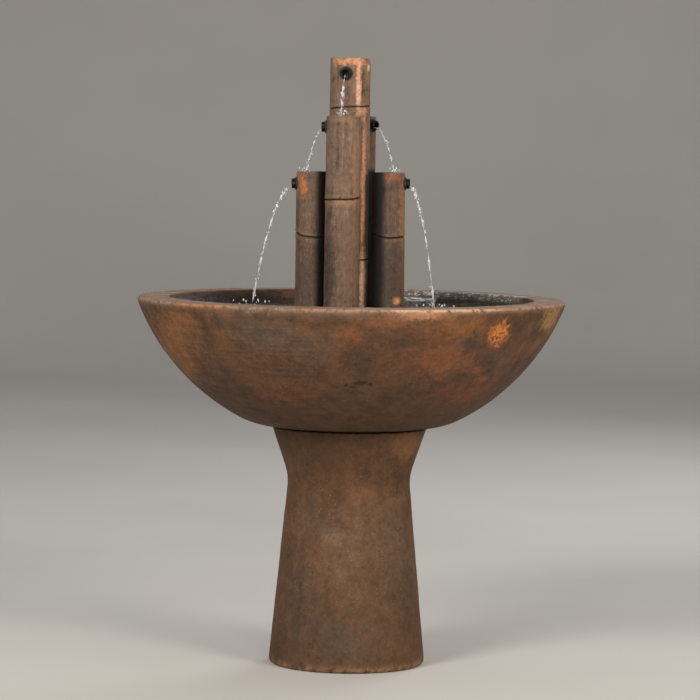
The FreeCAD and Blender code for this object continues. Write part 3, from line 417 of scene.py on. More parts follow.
def cast_skin(finish, lumps, pits):
    """Bumps of cast stone: its sand, lumps of that size and the pits."""
    rise = finish.bump(finish.noise(0.0022, 4.0, 0.6), 0.0011, 0.75)
    rise = finish.bump(finish.noise(lumps, 6.0, 0.65), 0.0024, 0.7, rise)
    return finish.bump(pits, 0.0012, 0.9, rise)


# centre and half size in millimetres, screen colour, strength, and the grain of the edge in metres
BOWL_PATCHES = (
    ((-305, -150, 560), (62, 130, 82), (134, 87, 47), 0.8, 0.045),
    ((-300, -210, 615), (60, 90, 26), (128, 86, 52), 0.8, 0.02),
    ((-220, -280, 570), (50, 60, 22), (106, 70, 46), 0.6, 0.016),
    ((-154, -328, 606), (100, 60, 36), (93, 74, 60), 0.85, 0.03),
    ((-60, -345, 585), (60, 50, 30), (92, 71, 54), 0.7, 0.03),
    ((-150, -270, 530), (80, 60, 20), (96, 66, 45), 0.6, 0.02),
    ((-113, -263, 503), (60, 60, 26), (106, 63, 40), 0.75, 0.016),
    ((-86, -309, 542), (50, 60, 18), (76, 56, 42), 0.6, 0.02),
    ((-2, -364, 609), (26, 40, 24), (126, 78, 44), 0.8, 0.012),
    ((-20, -355, 575), (14, 40, 30), (104, 70, 44), 0.6, 0.012),
    ((14, -345, 560), (38, 50, 34), (70, 49, 36), 0.65, 0.02),
    ((118, -359, 642), (56, 50, 9), (196, 138, 100), 0.75, 0.006),
    ((60, -370, 634), (60, 50, 12), (136, 86, 52), 0.65, 0.012),
    ((181, -321, 622), (76, 70, 24), (130, 85, 46), 0.85, 0.016),
    ((120, -340, 600), (50, 50, 18), (112, 72, 42), 0.6, 0.014),
    ((150, -300, 566), (70, 80, 28), (126, 78, 44), 0.8, 0.016),
    ((92, -330, 560), (40, 60, 26), (98, 61, 40), 0.6, 0.02),
    ((205, -300, 590), (22, 40, 12), (66, 52, 44), 0.65, 0.012),
    ((240, -245, 560), (30, 50, 18), (66, 52, 44), 0.65, 0.012),
    ((88, -350, 596), (40, 40, 11), (64, 49, 38), 0.7, 0.012),
    ((200, -205, 502), (76, 70, 22), (110, 62, 38), 0.8, 0.014),
    ((226, -215, 528), (15, 22, 8), (150, 80, 50), 0.6, 0.006),
    ((212, -235, 545), (10, 22, 7), (150, 84, 52), 0.6, 0.006),
    ((150, -275, 530), (14, 22, 6), (136, 74, 50), 0.5, 0.006),
    ((262, -190, 560), (10, 20, 8), (142, 80, 52), 0.5, 0.006),
    ((320, -150, 575), (22, 60, 22), (112, 74, 48), 0.6, 0.014),
    ((284, -200, 575), (40, 60, 30), (106, 70, 46), 0.6, 0.014),
    ((349, -133, 629), (26, 80, 26), (158, 118, 78), 0.85, 0.016),
)
# dark scars in the front of the bowl: centre and half size in millimetres
MARKS = (
    ((-8, -301, 520), (4, 12, 3.5)),
    ((4, -300, 517), (6, 12, 2.5)),
    ((33, -300, 522), (4, 12, 3.5)),
    ((16, -302, 524), (15, 20, 4.5)),
)


def bowl_finish(look):
    coat = Finish("bowl cast stone")
    base = weathered(coat, look, 0.11, 0.03)
    # painted shade: the lower belly is painted darker towards the underside
    low = coat.z.between(0.56, 0.46)
    base = coat.mix(low * 0.7, base, darker(look.umber, 0.62))
    base = coat.patched(base, BOWL_PATCHES)
    left = coat.x.between(0.06, -0.14)
    brushed = coat.noise((0.09, 0.09, 0.004), 5.0, 0.6, shift=2.0)
    base = coat.shaded(base, 1 - left * (brushed.between(0.35, 0.65) - 0.5) * 0.22)
    base = coat.mottled(base, 0.022, 0.16, 5.0)
    base = coat.mottled(base, 0.0065, 0.15, 8.0)
    scrawl = coat.spot((250, -263, 608), (25, 30, 28), 0.8, 0.008, 2.0)
    scrawl = scrawl * coat.noise(0.0085, 4.0, 0.75, 1.2, 5.0).between(0.38, 0.56)
    base = coat.mix(scrawl, base, tone(206, 124, 62))
    for centre, reach in MARKS:
        base = coat.mix(coat.spot(centre, reach, 0.9, 0.004) * 0.75, base, darker(look.dusk, 0.3))
    pits = coat.herds(0.011, 0.17, 0.0, 0.06, 4.0, 0.52, 0.64)
    base = coat.mix(pits * 0.7, base, darker(look.dusk, 0.5))
    base = coat.mix(coat.herds(0.008, 0.14, 3.0, 0.05, 7.0, 0.48, 0.62) * 0.45, base, tuple(look.sand))
    # painted shadow: a dark ring round the lowest few millimetres of the bowl, where it sits on the
    # pedestal
    painted_joint_shadow = coat.z.between(0.434, 0.427)
    base = coat.mix(painted_joint_shadow * 0.8, base, darker(look.dusk, 0.35))
    # painted highlight on the strip under the rim's outer edge, broken up by pale dusty clouds
    band = coat.painted("band")
    dust_and_highlight = coat.noise(0.03, 5.0, 0.7, shift=6.0).between(0.36, 0.60)
    base = coat.mix(band * dust_and_highlight * 0.75, base, tone(118, 98, 80))
    chipped = coat.noise(0.011, 7.0, 0.8, shift=9.0)
    # the rim's outer edge: rubbed pale and a painted highlight, in peach, grey and orange stretches along
    # the front
    ridge = coat.painted("ridge") * chipped.between(0.40, 0.54) * coat.painted("worn_length")
    bright = coat.x.between(0.04, 0.09) * coat.x.between(0.27, 0.22)
    tints = coat.mix(bright, tuple(look.sand), tone(232, 186, 148))
    tints = coat.mix(coat.x.between(-0.09, -0.12), tints, tone(160, 142, 126))
    tints = coat.mix(coat.x.between(-0.195, -0.21), tints, tone(204, 134, 86))
    base = coat.mix(ridge * 0.85, base, coat.mix(coat.x.between(-0.30, -0.32), tints, tone(176, 152, 132)))
    scuffed = coat.x.between(-0.10, -0.15) * coat.x.between(-0.21, -0.17)
    scuffed = coat.x.between(-0.30, -0.34).most(scuffed)
    base = coat.mix(band * scuffed * chipped.between(0.52, 0.60) * 0.7, base, tone(166, 146, 130))
    face = coat.noise(0.035, 7.0, 0.66, shift=14.0)
    rim = coat.ramp(
        face, (0.34, tone(112, 90, 73)), (0.52, tone(143, 117, 97)), (0.68, tone(166, 138, 117))
    )
    rim = coat.mix(coat.herds(0.0065, 0.22, 6.0, 0.03, 3.0, 0.50, 0.64) * 0.6, rim, tone(200, 184, 166))
    base = coat.mix(coat.painted("top"), base, rim)
    lime = coat.noise((0.04, 0.04, 0.012), 6.0, 0.7, shift=11.0)
    dry = coat.ramp(lime, (0.36, tone(62, 45, 33)), (0.50, tone(92, 66, 48)), (0.66, tone(120, 93, 72)))
    base = coat.mix(coat.painted("inside"), base, dry)
    # damp stone, with painted shade in the darker brown at the left of the inside
    wet = coat.painted("wet") * lime.between(0.28, 0.42)
    wet_and_shaded_tone = coat.mix(coat.x.between(0.0, 0.1), tone(42, 30, 22), tone(48, 44, 38))
    base = coat.mix(wet * 0.85, base, wet_and_shaded_tone)
    # painted highlight: a damp grey sheen and white specks at the top of the back right wall, where the
    # stone is also less rough
    sheen_and_wet_zone = coat.painted("sparkle")
    sparkle = sheen_and_wet_zone * coat.noise((0.009, 0.009, 0.004), 5.0, 0.8, shift=5.0).between(0.52, 0.61)
    base = coat.mix(sheen_and_wet_zone * 0.6, base, tone(122, 115, 107))
    base = coat.mix(sparkle, base, tone(226, 223, 218))
    # painted highlight: white streaks on the back wall just above the water
    shore_glint = coat.spot((124, 289, 638.5), (40, 30, 3.4), 0.4, 0.02)
    shore_glint = shore_glint * coat.noise((0.016, 0.016, 0.0016), 4.0, 0.7, shift=6.0).between(0.44, 0.52)
    base = coat.mix(shore_glint, base, tone(240, 240, 238))
    rough = 0.80 + (coat.noise(0.02, 3.0) - 0.5) * 0.24 - wet.most(sheen_and_wet_zone) * 0.54
    rise = coat.bump(brushed * left, 0.0008, 0.6, cast_skin(coat, 0.012, pits))
    return coat.surface(base, rough, rise, Specular_IOR_Level=0.35)


# patches of the pedestal and the stems, written in the same way
PEDESTAL_PATCHES = (
    ((83, -90, 215), (36, 60, 90), (98, 80, 63), 0.6, 0.03),
    ((10, -112, 225), (44, 50, 60), (116, 90, 69), 0.5, 0.02),
    ((-30, -113, 240), (26, 40, 24), (130, 106, 86), 0.35, 0.01),
    ((-4, -120, 60), (70, 60, 46), (92, 76, 61), 0.75, 0.03),
    ((104, -70, 396), (50, 90, 34), (146, 100, 63), 0.8, 0.05),
    ((-90, -90, 396), (30, 70, 24), (94, 70, 50), 0.6, 0.02),
    ((-80, -100, 120), (44, 60, 80), (84, 66, 52), 0.7, 0.03),
    ((-60, -100, 270), (40, 60, 40), (92, 74, 57), 0.6, 0.03),
)


def pedestal_finish(look):
    coat = Finish("pedestal cast stone")
    base = weathered(coat, look, 0.09, 0.024)
    base = coat.mix(coat.z.between(0.32, 0.24) * 0.25, base, tone(112, 87, 66))
    base = coat.patched(base, PEDESTAL_PATCHES)
    streaks = coat.noise((0.02, 0.02, 0.12), 6.0, 0.65, 0.3, 6.0)
    base = coat.mix(streaks.between(0.56, 0.70) * 0.35, base, tuple(look.dusk))
    base = coat.mottled(base, 0.016, 0.14, 9.0)
    base = coat.mottled(base, 0.006, 0.14, 4.0)
    specks = coat.herds(0.0075, 0.16, 3.0, 0.05, 2.0, 0.46, 0.60)
    base = coat.mix(specks * 0.5, base, tone(172, 146, 118))
    pits = coat.herds(0.011, 0.16, 6.0, 0.05, 5.0, 0.5, 0.62)
    base = coat.mix(pits * 0.7, base, darker(look.dusk, 0.45))
    # painted shade under the bowl: darker towards the head
    base = coat.mix(coat.z.between(0.30, 0.40) * 0.4, base, tuple(look.dusk))
    base = coat.mix(coat.z.between(0.16, 0.04) * 0.25, base, tuple(look.dusk))
    # painted shadow: a dark ring at the top edge of the head, under the bowl's foot
    base = coat.mix(coat.z.between(0.419, 0.4225) * 0.8, base, darker(look.dusk, 0.3))
    # paler, rubbed edges of the foot and, fainter, of the head
    worn = coat.painted("worn") * coat.noise(0.016, 6.0, 0.7, shift=3.0).between(0.38, 0.58)
    base = coat.mix(worn * 0.8, base, tone(156, 120, 88))
    rough = 0.84 + (coat.noise(0.02, 3.0) - 0.5) * 0.2
    return coat.surface(base, rough, cast_skin(coat, 0.011, pits), Specular_IOR_Level=0.3)


def plinth_finish(look):
    coat = Finish("plinth cast stone")
    base = coat.mix(0.45, weathered(coat, look, 0.07, 0.016), tone(48, 44, 34))
    slime = coat.noise(0.03, 6.0, 0.7, 0.6, 2.0)
    base = coat.mix(slime.between(0.5, 0.66) * 0.5, base, tone(66, 66, 40))
    rise = coat.bump(coat.noise(0.0025, 4.0, 0.6), 0.001, 0.8)
    rise = coat.bump(coat.noise(0.012, 6.0), 0.002, 0.7, rise)
    return coat.surface(base, 0.34 + slime * 0.3, rise, Specular_IOR_Level=0.4)


STEM_PATCHES = {
    "tall": (
        ((-8, -26, 1073), (46, 24, 8), (212, 150, 108), 0.9, 0.01),
        # painted highlight: a pale upright strip on the tall stem's top
        ((7.2, -23, 1022), (6, 12, 58), (222, 168, 136), 1.0, 0.007),
        ((23, -8, 1050), (8, 12, 34), (150, 116, 78), 0.7, 0.01),
        # painted highlight: a pale yellow fleck at the tall stem's right edge
        ((24.5, -6, 1062), (3, 6, 9), (216, 216, 160), 0.9, 0.006),
        ((15, -17, 984), (14, 14, 8), (196, 142, 106), 0.7, 0.006),
        # painted highlight: the lit upright strip on the tall stem's right
        ((18.6, -16, 850), (4.4, 9, 142), (212, 148, 106), 1.0, 0.006),
        ((17, -17, 676), (3.4, 9, 36), (122, 116, 112), 0.8, 0.006),
        # painted light: the low part of that strip, lightened where it lies in shadow
        ((21, -13, 682), (9, 14, 60), (228, 184, 150), 1.0, 0.008),
        ((-14, -24, 1040.5), (7, 14, 2.6), (44, 30, 24), 0.9, 0.004),
    ),
    "front": (
        # painted highlight: a pale band under the front stem's node
        ((-16, -90, 823), (34, 20, 7), (172, 126, 92), 0.7, 0.007),
        ((-16, -90, 968), (34, 20, 6), (150, 116, 90), 0.6, 0.008),
        # painted light: the front stem's right side lightened, above and below its node
        ((6, -78, 890), (12, 18, 80), (156, 116, 90), 0.75, 0.012),
        ((4, -78, 720), (13, 18, 90), (138, 104, 78), 0.7, 0.012),
        # painted shade: the front stem's left side below its node, beside the left stem
        ((-38, -76, 715), (18, 20, 120), (66, 54, 47), 0.9, 0.014),
        ((-14, -90, 715), (20, 20, 100), (112, 88, 72), 0.6, 0.014),
        ((-40, -74, 900), (12, 20, 70), (112, 92, 82), 0.6, 0.014),
    ),
    "rear": (((34, 50, 930), (14, 30, 40), (118, 82, 62), 0.7, 0.012),),
    "left": (
        ((-95, -33, 862), (8, 14, 12), (172, 100, 54), 0.85, 0.007),
        ((-88, -40, 850), (9, 14, 20), (186, 114, 66), 0.85, 0.007),
        ((-84, -40, 690), (26, 22, 74), (84, 67, 53), 0.8, 0.014),
        ((-98, -26, 800), (9, 18, 34), (88, 66, 40), 0.85, 0.01),
    ),
    "right": (
        ((80, -40, 651), (9, 16, 8), (226, 154, 98), 0.95, 0.006),
        ((66, -45, 868), (30, 22, 8), (144, 90, 56), 0.7, 0.007),
        # painted light: the right stem's lit right edge, along its length
        ((89, -28, 810), (11, 20, 80), (158, 108, 72), 0.8, 0.01),
        ((90, -28, 700), (9, 20, 50), (122, 84, 60), 0.75, 0.01),
        ((68, -44, 700), (22, 20, 76), (72, 60, 51), 0.8, 0.014),
    ),
}
# how light each stem's brown is: partly its own tone, partly painted light and shade, lightest on the tall
# stem and darkest on the right one
STEM_LIGHT_AND_TONE = {"tall": 1.12, "front": 1.0, "rear": 0.85, "left": 0.9, "right": 0.7}


def stem_finish(look, name):
    coat = Finish(f"{name} stem cast stone")
    streaks = coat.noise((0.006, 0.006, 0.09), 5.0, 0.62, 0.2)
    blotches = coat.noise(0.022, 6.0, 0.68, shift=3.0)
    base = coat.ramp(
        streaks * 0.5 + blotches * 0.5,
        (0.36, tuple(look.shade)),
        (0.46, darker(look.bark, 0.85)),
        (0.54, tuple(look.bark)),
        (0.68, tuple(look.straw)),
    )
    base = coat.shaded(base, STEM_LIGHT_AND_TONE[name])
    base = coat.patched(base, STEM_PATCHES[name])
    base = coat.mottled(base, (0.004, 0.004, 0.008), 0.18, 4.0)
    specks = coat.herds(0.0042, 0.24, 2.0, 0.02, 2.0, 0.42, 0.56)
    base = coat.mix(specks * 0.4, base, darker(look.straw, 1.3))
    dots = coat.herds(0.0038, 0.24, 5.0, 0.02, 6.0, 0.44, 0.6)
    base = coat.mix(dots * 0.55, base, darker(look.shade, 0.5))
    # rubbed paler top edge, and a painted highlight on the swellings beside each groove
    worn = coat.painted("worn") * coat.noise(0.008, 5.0, 0.7, shift=4.0).between(0.40, 0.58)
    base = coat.mix(worn * 0.5, base, darker(look.straw, 1.2))
    # painted shade, near black, on the sides of the stems that face each other and low on the rear stem's
    # front, with some damp
    wet = coat.painted("wet")
    base = coat.mix(wet * 0.98, base, tone(6, 5, 5))
    base = coat.mix(coat.painted("groove") * 0.9, base, darker(look.shade, 0.2))
    rough = 0.74 + (coat.noise(0.01, 3.0) - 0.5) * 0.25 - wet * 0.1
    rise = coat.bump(coat.noise((0.0016, 0.0016, 0.006), 4.0, 0.6), 0.0009, 0.8)
    rise = coat.bump(coat.noise((0.003, 0.003, 0.05), 5.0, 0.65), 0.0012, 0.8, rise)
    rise = coat.bump(dots, 0.0008, 0.7, rise)
    return coat.surface(base, rough, rise, Specular_IOR_Level=0.35)


def moulded(name, shade, roughness, grain=0.0012, depth=0.0002, **constants):
    """Moulded plastic or rubber: fine grain, faint scuffs and dusty hollows."""
    coat = Finish(name)
    scuffs = coat.noise((0.003, 0.02, 0.006), 5.0, 0.7)
    clouds = coat.noise(0.02, 4.0, 0.6, shift=2.0)
    scuff = tuple(part * 1.7 + 0.01 for part in shade)
    base = coat.mix(scuffs.between(0.56, 0.72) * 0.35, tuple(shade), scuff)
    base = coat.mix(clouds.between(0.5, 0.66) * 0.4, base, darker(shade, 0.7))
    rough = roughness + (clouds - 0.5) * 0.25
    rise = coat.bump(coat.noise(grain, 3.0, 0.6), depth, 0.8)
    return coat.surface(base, rough, rise, **constants)


def stream_finish():
    coat = Finish("running water")
    rise = coat.bump(coat.noise((0.003, 0.003, 0.008), 3.0), 0.0012, 0.6)
    tint = coat.ramp(coat.noise(0.006, 3.0), (0.4, tone(206, 210, 216)), (0.58, tone(253, 253, 254)))
    return coat.surface(tint, 0.08, rise, Transmission_Weight=0.40, IOR=1.33)


def pool_finish(look, splashes):
    coat = Finish("still water")
    rings = coat.noise(0.03, 3.0, 0.5) * 0.6
    foam = 0.0
    for spot in splashes:
        away = coat.vector("DISTANCE", coat.place, spot, out="Value")
        rings = rings + (away * 420.0).sine() * away.between(0.13, 0.0) * 0.8
        foam = away.between(0.020, 0.004) * coat.noise(0.006, 4.0, 0.7).between(0.40, 0.54) + foam
    level = look.level / MM
    # the murky brown-green of the water, kept dark also as a painted reflection of the bowl's wall
    base = coat.ramp(coat.noise(0.08, 4.0), (0.4, darker(look.pool, 0.7)), (0.62, tuple(look.pool)))
    streaked = coat.noise((0.03, 0.008, 0.01), 5.0, 0.7, shift=3.0)
    # painted reflection: a grey, streaked sheen on the water at the right
    sheen = coat.spot((200, 175, level), (70, 40, 8), 0.8, 0.03) * streaked.between(0.42, 0.58)
    base = coat.mix(sheen * 0.8, base, tone(150, 152, 154))
    froth = coat.noise((0.011, 0.022, 0.01), 5.0, 0.78, shift=3.0).between(0.50, 0.56)
    adrift = coat.spot((150, 20, level), (34, 60, 8), 0.6, 0.02) * froth * 0.8
    # painted reflection: white streaks on the water by the back wall
    shore_glint = coat.spot((126, 280, level), (42, 17, 8), 0.4, 0.02) * streaked.between(0.42, 0.50)
    # the painted reflection by the back wall, with the froth at the right landing
    glint_and_froth = shore_glint.most(adrift)
    white = glint_and_froth.most(foam.least(1.0))
    base = coat.mix(white, base, tone(244, 244, 242))
    solid = white.most(sheen * 0.7)
    return coat.surface(
        base, 0.04 + white * 0.3, coat.bump(rings, 0.0016, 0.8), Alpha=0.42 + solid * 0.55, IOR=1.33
    )


# modelling

def set_down():
    """Object mode, with nothing selected."""
    if bpy.context.mode != "OBJECT":
        bpy.ops.object.mode_set(mode="OBJECT")
    bpy.ops.object.select_all(action="DESELECT")


def take(piece):
    """One piece selected and active."""
    set_down()
    piece.select_set(True)
    bpy.context.view_layer.objects.active = piece


def centre_of(first, last, radius, side):
    """Centre of the arc between two points, left (1) or right (-1) of the way."""
    chord = last - first
    across = Vector((-chord.y, chord.x)).normalized()
    return (first + last) / 2 + across * side * math.sqrt(max(radius**2 - chord.length**2 / 4, 0.0))


def arc(first, last, radius, side, step):
    """Points after the first, on the arc whose centre lies left (1) or right (-1) of the way."""
    centre = centre_of(first, last, radius, side)
    sweep = 2 * math.asin(min(1.0, (last - first).length / 2 / radius)) * side
    count = max(3, math.ceil(abs(sweep) * radius / step))
    spoke = first - centre
    return [
        centre + Matrix.Rotation(sweep * turn / count, 2) @ spoke for turn in range(1, count + 1)
    ]


def straight(points, step):
    """The same way, with points no further apart than step."""
    way = [points[0]]
    for point in points[1:]:
        count = max(1, math.ceil((point - way[-1]).length / step))
        start = way[-1]
        way += [start.lerp(point, share / count) for share in range(1, count + 1)]
    return way


def in_metres(corners, foot=0.0):
    """Corners of (radius, height above the foot, rounding) given in millimetres."""
    return [(radius * MM, foot + height * MM, fillet * MM) for radius, height, fillet in corners]


def rounded(corners, step):
    """A closed or open way through (radius, height, rounding) corners."""
    way = []
    places = [Vector(corner[:2]) for corner in corners]
    for index, corner in enumerate(corners):
        here = places[index]
        if corner[2] == 0 or index in (0, len(corners) - 1):
            way.append(here)
            continue
        back = (places[index - 1] - here).normalized()
        ahead = (places[index + 1] - here).normalized()
        reach = corner[2] / math.tan(back.angle(ahead) / 2)
        side = 1 if back.cross(ahead) < 0 else -1
        first, last = here + back * reach, here + ahead * reach
        way.append(first)
        way += arc(first, last, corner[2], side, min(step, corner[2] / 3))
    return straight(way, step)


def turned(name, way, steps):
    """Spins a way of (radius, height) points round the upright axis into a closed skin."""
    set_down()
    bpy.ops.mesh.primitive_plane_add(size=0.001)
    piece = bpy.context.object
    piece.name = piece.data.name = name
    bpy.ops.object.mode_set(mode="EDIT")
    bpy.ops.mesh.select_mode(type="VERT")
    bpy.ops.mesh.select_all(action="SELECT")
    bpy.ops.mesh.merge(type="CENTER")
    bpy.ops.transform.translate(value=(way[0].x, 0.0, way[0].y))
    for here, there in zip(way, way[1:]):
        stride = (there.x - here.x, 0.0, there.y - here.y)
        bpy.ops.mesh.extrude_vertices_move(TRANSFORM_OT_translate={"value": stride})
    bpy.ops.mesh.select_all(action="SELECT")
    bpy.ops.mesh.spin(steps=steps, angle=math.tau, center=(0, 0, 0), axis=(0, 0, 1))
    bpy.ops.mesh.select_all(action="SELECT")
    bpy.ops.mesh.remove_doubles(threshold=0.00002)
    bpy.ops.mesh.normals_make_consistent(inside=False)
    bpy.ops.object.mode_set(mode="OBJECT")
    return piece


def off_axis(place):
    """How far a place is from the upright axis."""
    return math.hypot(place.x, place.y)


def put(piece, place, turn=0.0):
    """Moves and turns a piece, and leaves its object at the origin."""
    take(piece)
    piece.matrix_world = Matrix.Translation(place) @ Matrix.Rotation(turn, 4, "Z")
    bpy.ops.object.transform_apply(location=True, rotation=True, scale=True)


def weights(piece, name, rule):
    """A vertex group whose weight at each point comes from the rule."""
    group = piece.vertex_groups.new(name=name)
    for vertex in piece.data.vertices:
        share = rule(vertex.co)
        if share > 0:
            group.add([vertex.index], min(share, 1.0), "REPLACE")
    return name


def paint(piece, name, rule):
    """A number kept at each point of the mesh, which a finish reads by name."""
    layer = piece.data.attributes.new(name, "FLOAT", "POINT")
    shares = [min(max(rule(vertex.co), 0.0), 1.0) for vertex in piece.data.vertices]
    layer.data.foreach_set("value", shares)


def displaced(piece, name, depth, size, middle=1.0, group="", axis="NORMAL", stretch=(1, 1, 1)):
    """Pushes the skin along by a cloudy pattern; a middle of 1 only ever takes stone away."""
    take(piece)
    pattern = bpy.data.textures.new(name, "CLOUDS")
    pattern.noise_scale = size
    pattern.noise_depth = 3
    pattern.noise_basis = "ORIGINAL_PERLIN"
    ruler = bpy.data.objects.new("ruler", None)
    bpy.context.scene.collection.objects.link(ruler)
    ruler.scale = stretch
    modifier = piece.modifiers.new(name, "DISPLACE")
    modifier.texture = pattern
    modifier.texture_coords = "OBJECT"
    modifier.texture_coords_object = ruler
    modifier.strength = depth
    modifier.mid_level = middle
    modifier.direction = axis
    modifier.vertex_group = group
    bpy.context.view_layer.update()
    bpy.ops.object.modifier_apply(modifier=name)
    bpy.data.objects.remove(ruler)


def pressed(piece, name, depth, axis, rule):
    """Moves the points that the rule picks along one axis."""
    take(piece)
    modifier = piece.modifiers.new(name, "DISPLACE")
    modifier.strength = depth
    modifier.mid_level = 0.0
    modifier.direction = axis
    modifier.vertex_group = weights(piece, name, rule)
    bpy.ops.object.modifier_apply(modifier=name)


def carved(piece, cutter):
    """Takes the cutter's shape out of a piece."""
    take(piece)
    modifier = piece.modifiers.new("carved", "BOOLEAN")
    modifier.operation = "DIFFERENCE"
    modifier.object = cutter
    bpy.ops.object.modifier_apply(modifier="carved")
    bpy.data.objects.remove(cutter)


def arch(name, width, straight_side, start, end):
    """A cutter in the form of an arch that runs along the y axis."""
    set_down()
    middle = (0.0, (start + end) / 2, straight_side / 2 - 0.001)
    bpy.ops.mesh.primitive_cube_add(size=1.0, location=middle)
    cutter = bpy.context.object
    cutter.name = name
    cutter.scale = (width, end - start, straight_side + 0.002)
    bpy.ops.object.transform_apply(location=True, rotation=True, scale=True)
    bpy.ops.object.mode_set(mode="EDIT")
    bpy.ops.mesh.select_mode(type="FACE")
    bpy.ops.mesh.select_all(action="DESELECT")
    bpy.ops.object.mode_set(mode="OBJECT")
    for face in cutter.data.polygons:
        face.select = face.normal.z > 0.9
    bpy.ops.object.mode_set(mode="EDIT")
    spokes = [math.pi / 2 * turn / 12 for turn in range(12)] + [math.radians(89)]
    for before, after in zip(spokes, spokes[1:]):
        rise = width / 2 * (math.sin(after) - math.sin(before))
        narrower = math.cos(after) / math.cos(before)
        bpy.ops.mesh.extrude_region_move(TRANSFORM_OT_translate={"value": (0.0, 0.0, rise)})
        bpy.ops.transform.resize(value=(narrower, 1.0, 1.0), center_override=(0.0, 0.0, 0.0))
    bpy.ops.object.mode_set(mode="OBJECT")
    return cutter


def finished(piece, material, body, *nodes):
    """Gives a piece its finish, its body and the CAD nodes that it stands for."""
    take(piece)
    bpy.ops.object.shade_smooth_by_angle(angle=SHARP_EDGE)
    piece.data.materials.clear()
    piece.data.materials.append(material)
    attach(piece, body)
    if nodes:
        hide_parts(*nodes)


# pieces

def bowl_way(step):
    """Outline of the bowl, from its drain hole outwards and back."""
    def at(radius, height):
        return Vector((radius * MM, BOWL_FOOT + height * MM))

    drain, drain_top = at(DRAIN_LOW_RADIUS, 0), at(DRAIN_TOP_RADIUS, FLOOR_HEIGHT)
    foot, belly = at(FOOT_RADIUS, 0), at(BELLY_RADIUS, BELLY_HEIGHT)
    edge, brim = at(BOWL_RADIUS, BOWL_HEIGHT - EDGE_ROUND), at(BOWL_RADIUS - EDGE_ROUND, BOWL_HEIGHT)
    lip, mouth = at(MOUTH_RADIUS + LIP_ROUND, BOWL_HEIGHT), at(MOUTH_RADIUS, BOWL_HEIGHT - LIP_ROUND)
    floor = at(FLOOR_RADIUS, FLOOR_HEIGHT)
    way = straight([drain, foot], step)
    way += arc(foot, belly, BELLY_ROUND * MM, 1, step)
    way += arc(belly, edge, BOWL_BULGE * MM, 1, step)
    way += arc(edge, brim, EDGE_ROUND * MM, 1, ROUNDING_STEP)
    way += straight([brim, lip], step)[1:]
    way += arc(lip, mouth, LIP_ROUND * MM, 1, ROUNDING_STEP)
    way += arc(mouth, floor, INSIDE_BULGE * MM, -1, step)
    return way + straight([floor, drain_top, drain], step)[1:]


def hollow_radius(level):
    """Radius of the bowl's inside at a height."""
    floor = Vector((FLOOR_RADIUS * MM, BOWL_FOOT + FLOOR_HEIGHT * MM))
    mouth = Vector((MOUTH_RADIUS * MM, BOWL_FOOT + (BOWL_HEIGHT - LIP_ROUND) * MM))
    centre = centre_of(floor, mouth, INSIDE_BULGE * MM, 1)
    return centre.x + math.sqrt((INSIDE_BULGE * MM) ** 2 - (level - centre.y) ** 2)


class FOUNTAIN_OT_bowl(bpy.types.Operator):
    """Bowl with its chipped, rubbed rim and damp inside, and its painted highlights and shade"""

    bl_idname = "fountain.bowl"
    bl_label = "Bowl"

    def execute(self, context):
        look = context.scene.fountain_stone
        level = context.scene.fountain_water.level
        bowl = turned("bowl", bowl_way(0.0052), 360)

        def inside(place):
            """The wall of the hollow, under the rounding of its lip."""
            if place.z > BOWL_RIM - 0.0005 or place.z < BOWL_FOOT + 0.038:
                return 0.0
            return 1.0 if off_axis(place) < hollow_radius(place.z) + 0.006 else 0.0

        def lumpy(place):
            """Full in between, faint at the outer edge, none on the rim, underside and floor."""
            radius = off_axis(place)
            low, high = (place.z - BOWL_FOOT) / 0.012, (BOWL_RIM - place.z) / 0.012
            return min(1.0, low, high) * (1.0 if radius < 0.374 else 0.35) * (radius > 0.136)

        def top(place):
            """The flat face of the rim."""
            return 1 - (BOWL_RIM - place.z) / 0.003 if 0.318 < off_axis(place) < 0.3785 else 0.0

        def ridge(place):
            """The rim's outer edge."""
            far = Vector((off_axis(place) - 0.3785, place.z - BOWL_RIM + 0.0026)).length
            return 1.4 - far / 0.0046

        def band(place):
            """The strip under that edge, narrower to the sides."""
            under = BOWL_RIM - place.z
            width = 0.017 - 0.006 * abs(place.x) / 0.3
            return (1.4 - under / width) if off_axis(place) > 0.35 else 0.0

        def wet(place):
            """The wall just above the water, and fainter under it: damp stone, with painted shade in its
            higher band at the left.
            """
            if not inside(place):
                return 0.0
            climb = 0.012 if place.x < -0.13 or place.x > 0.03 else 0.004
            above = 1 - (place.z - level - climb * 0.5) / climb
            return min(above, max(0.35, 1 - (level - place.z) / 0.05))

        def sparkle(place):
            """The top of the wall at the back right, where a damp sheen and specks of highlight are
            painted.
            """
            heading = math.atan2(place.y, place.x)
            right = (heading - math.radians(16)) / math.radians(9)
            left = (math.radians(88) - heading) / math.radians(9)
            height = 1 - abs(BOWL_RIM - 0.002 - place.z) / 0.012
            return min(1.0, right, left) * max(0.0, height) * 1.3 if off_axis(place) < 0.345 else 0.0

        def worn_length(place):
            """How bright the outer edge is painted along the bowl: rubbed pale, with a painted highlight
            that is fainter at the back.
            """
            if place.y > 0:
                return 0.45
            if place.x < -0.29:
                return 0.8
            if place.x < -0.205:
                return 1.0
            return 0.8 if place.x < -0.105 else 1.0

        for rule in (inside, top, ridge, band, wet, sparkle, worn_length):
            paint(bowl, rule.__name__, rule)
        weights(bowl, "skin", lumpy)
        weights(bowl, "rim", lambda place: 1 - (BOWL_RIM - place.z) / 0.016)
        displaced(bowl, "lumps", look.wear, 0.055, 0.6, "skin")
        displaced(bowl, "ripples", look.wear * 0.5, 0.014, 0.6, "skin")
        displaced(bowl, "rim chips", look.rim_wear, 0.016, 0.86, "rim")
        finished(bowl, bowl_finish(look), "bowl", "basin")
        return {"FINISHED"}


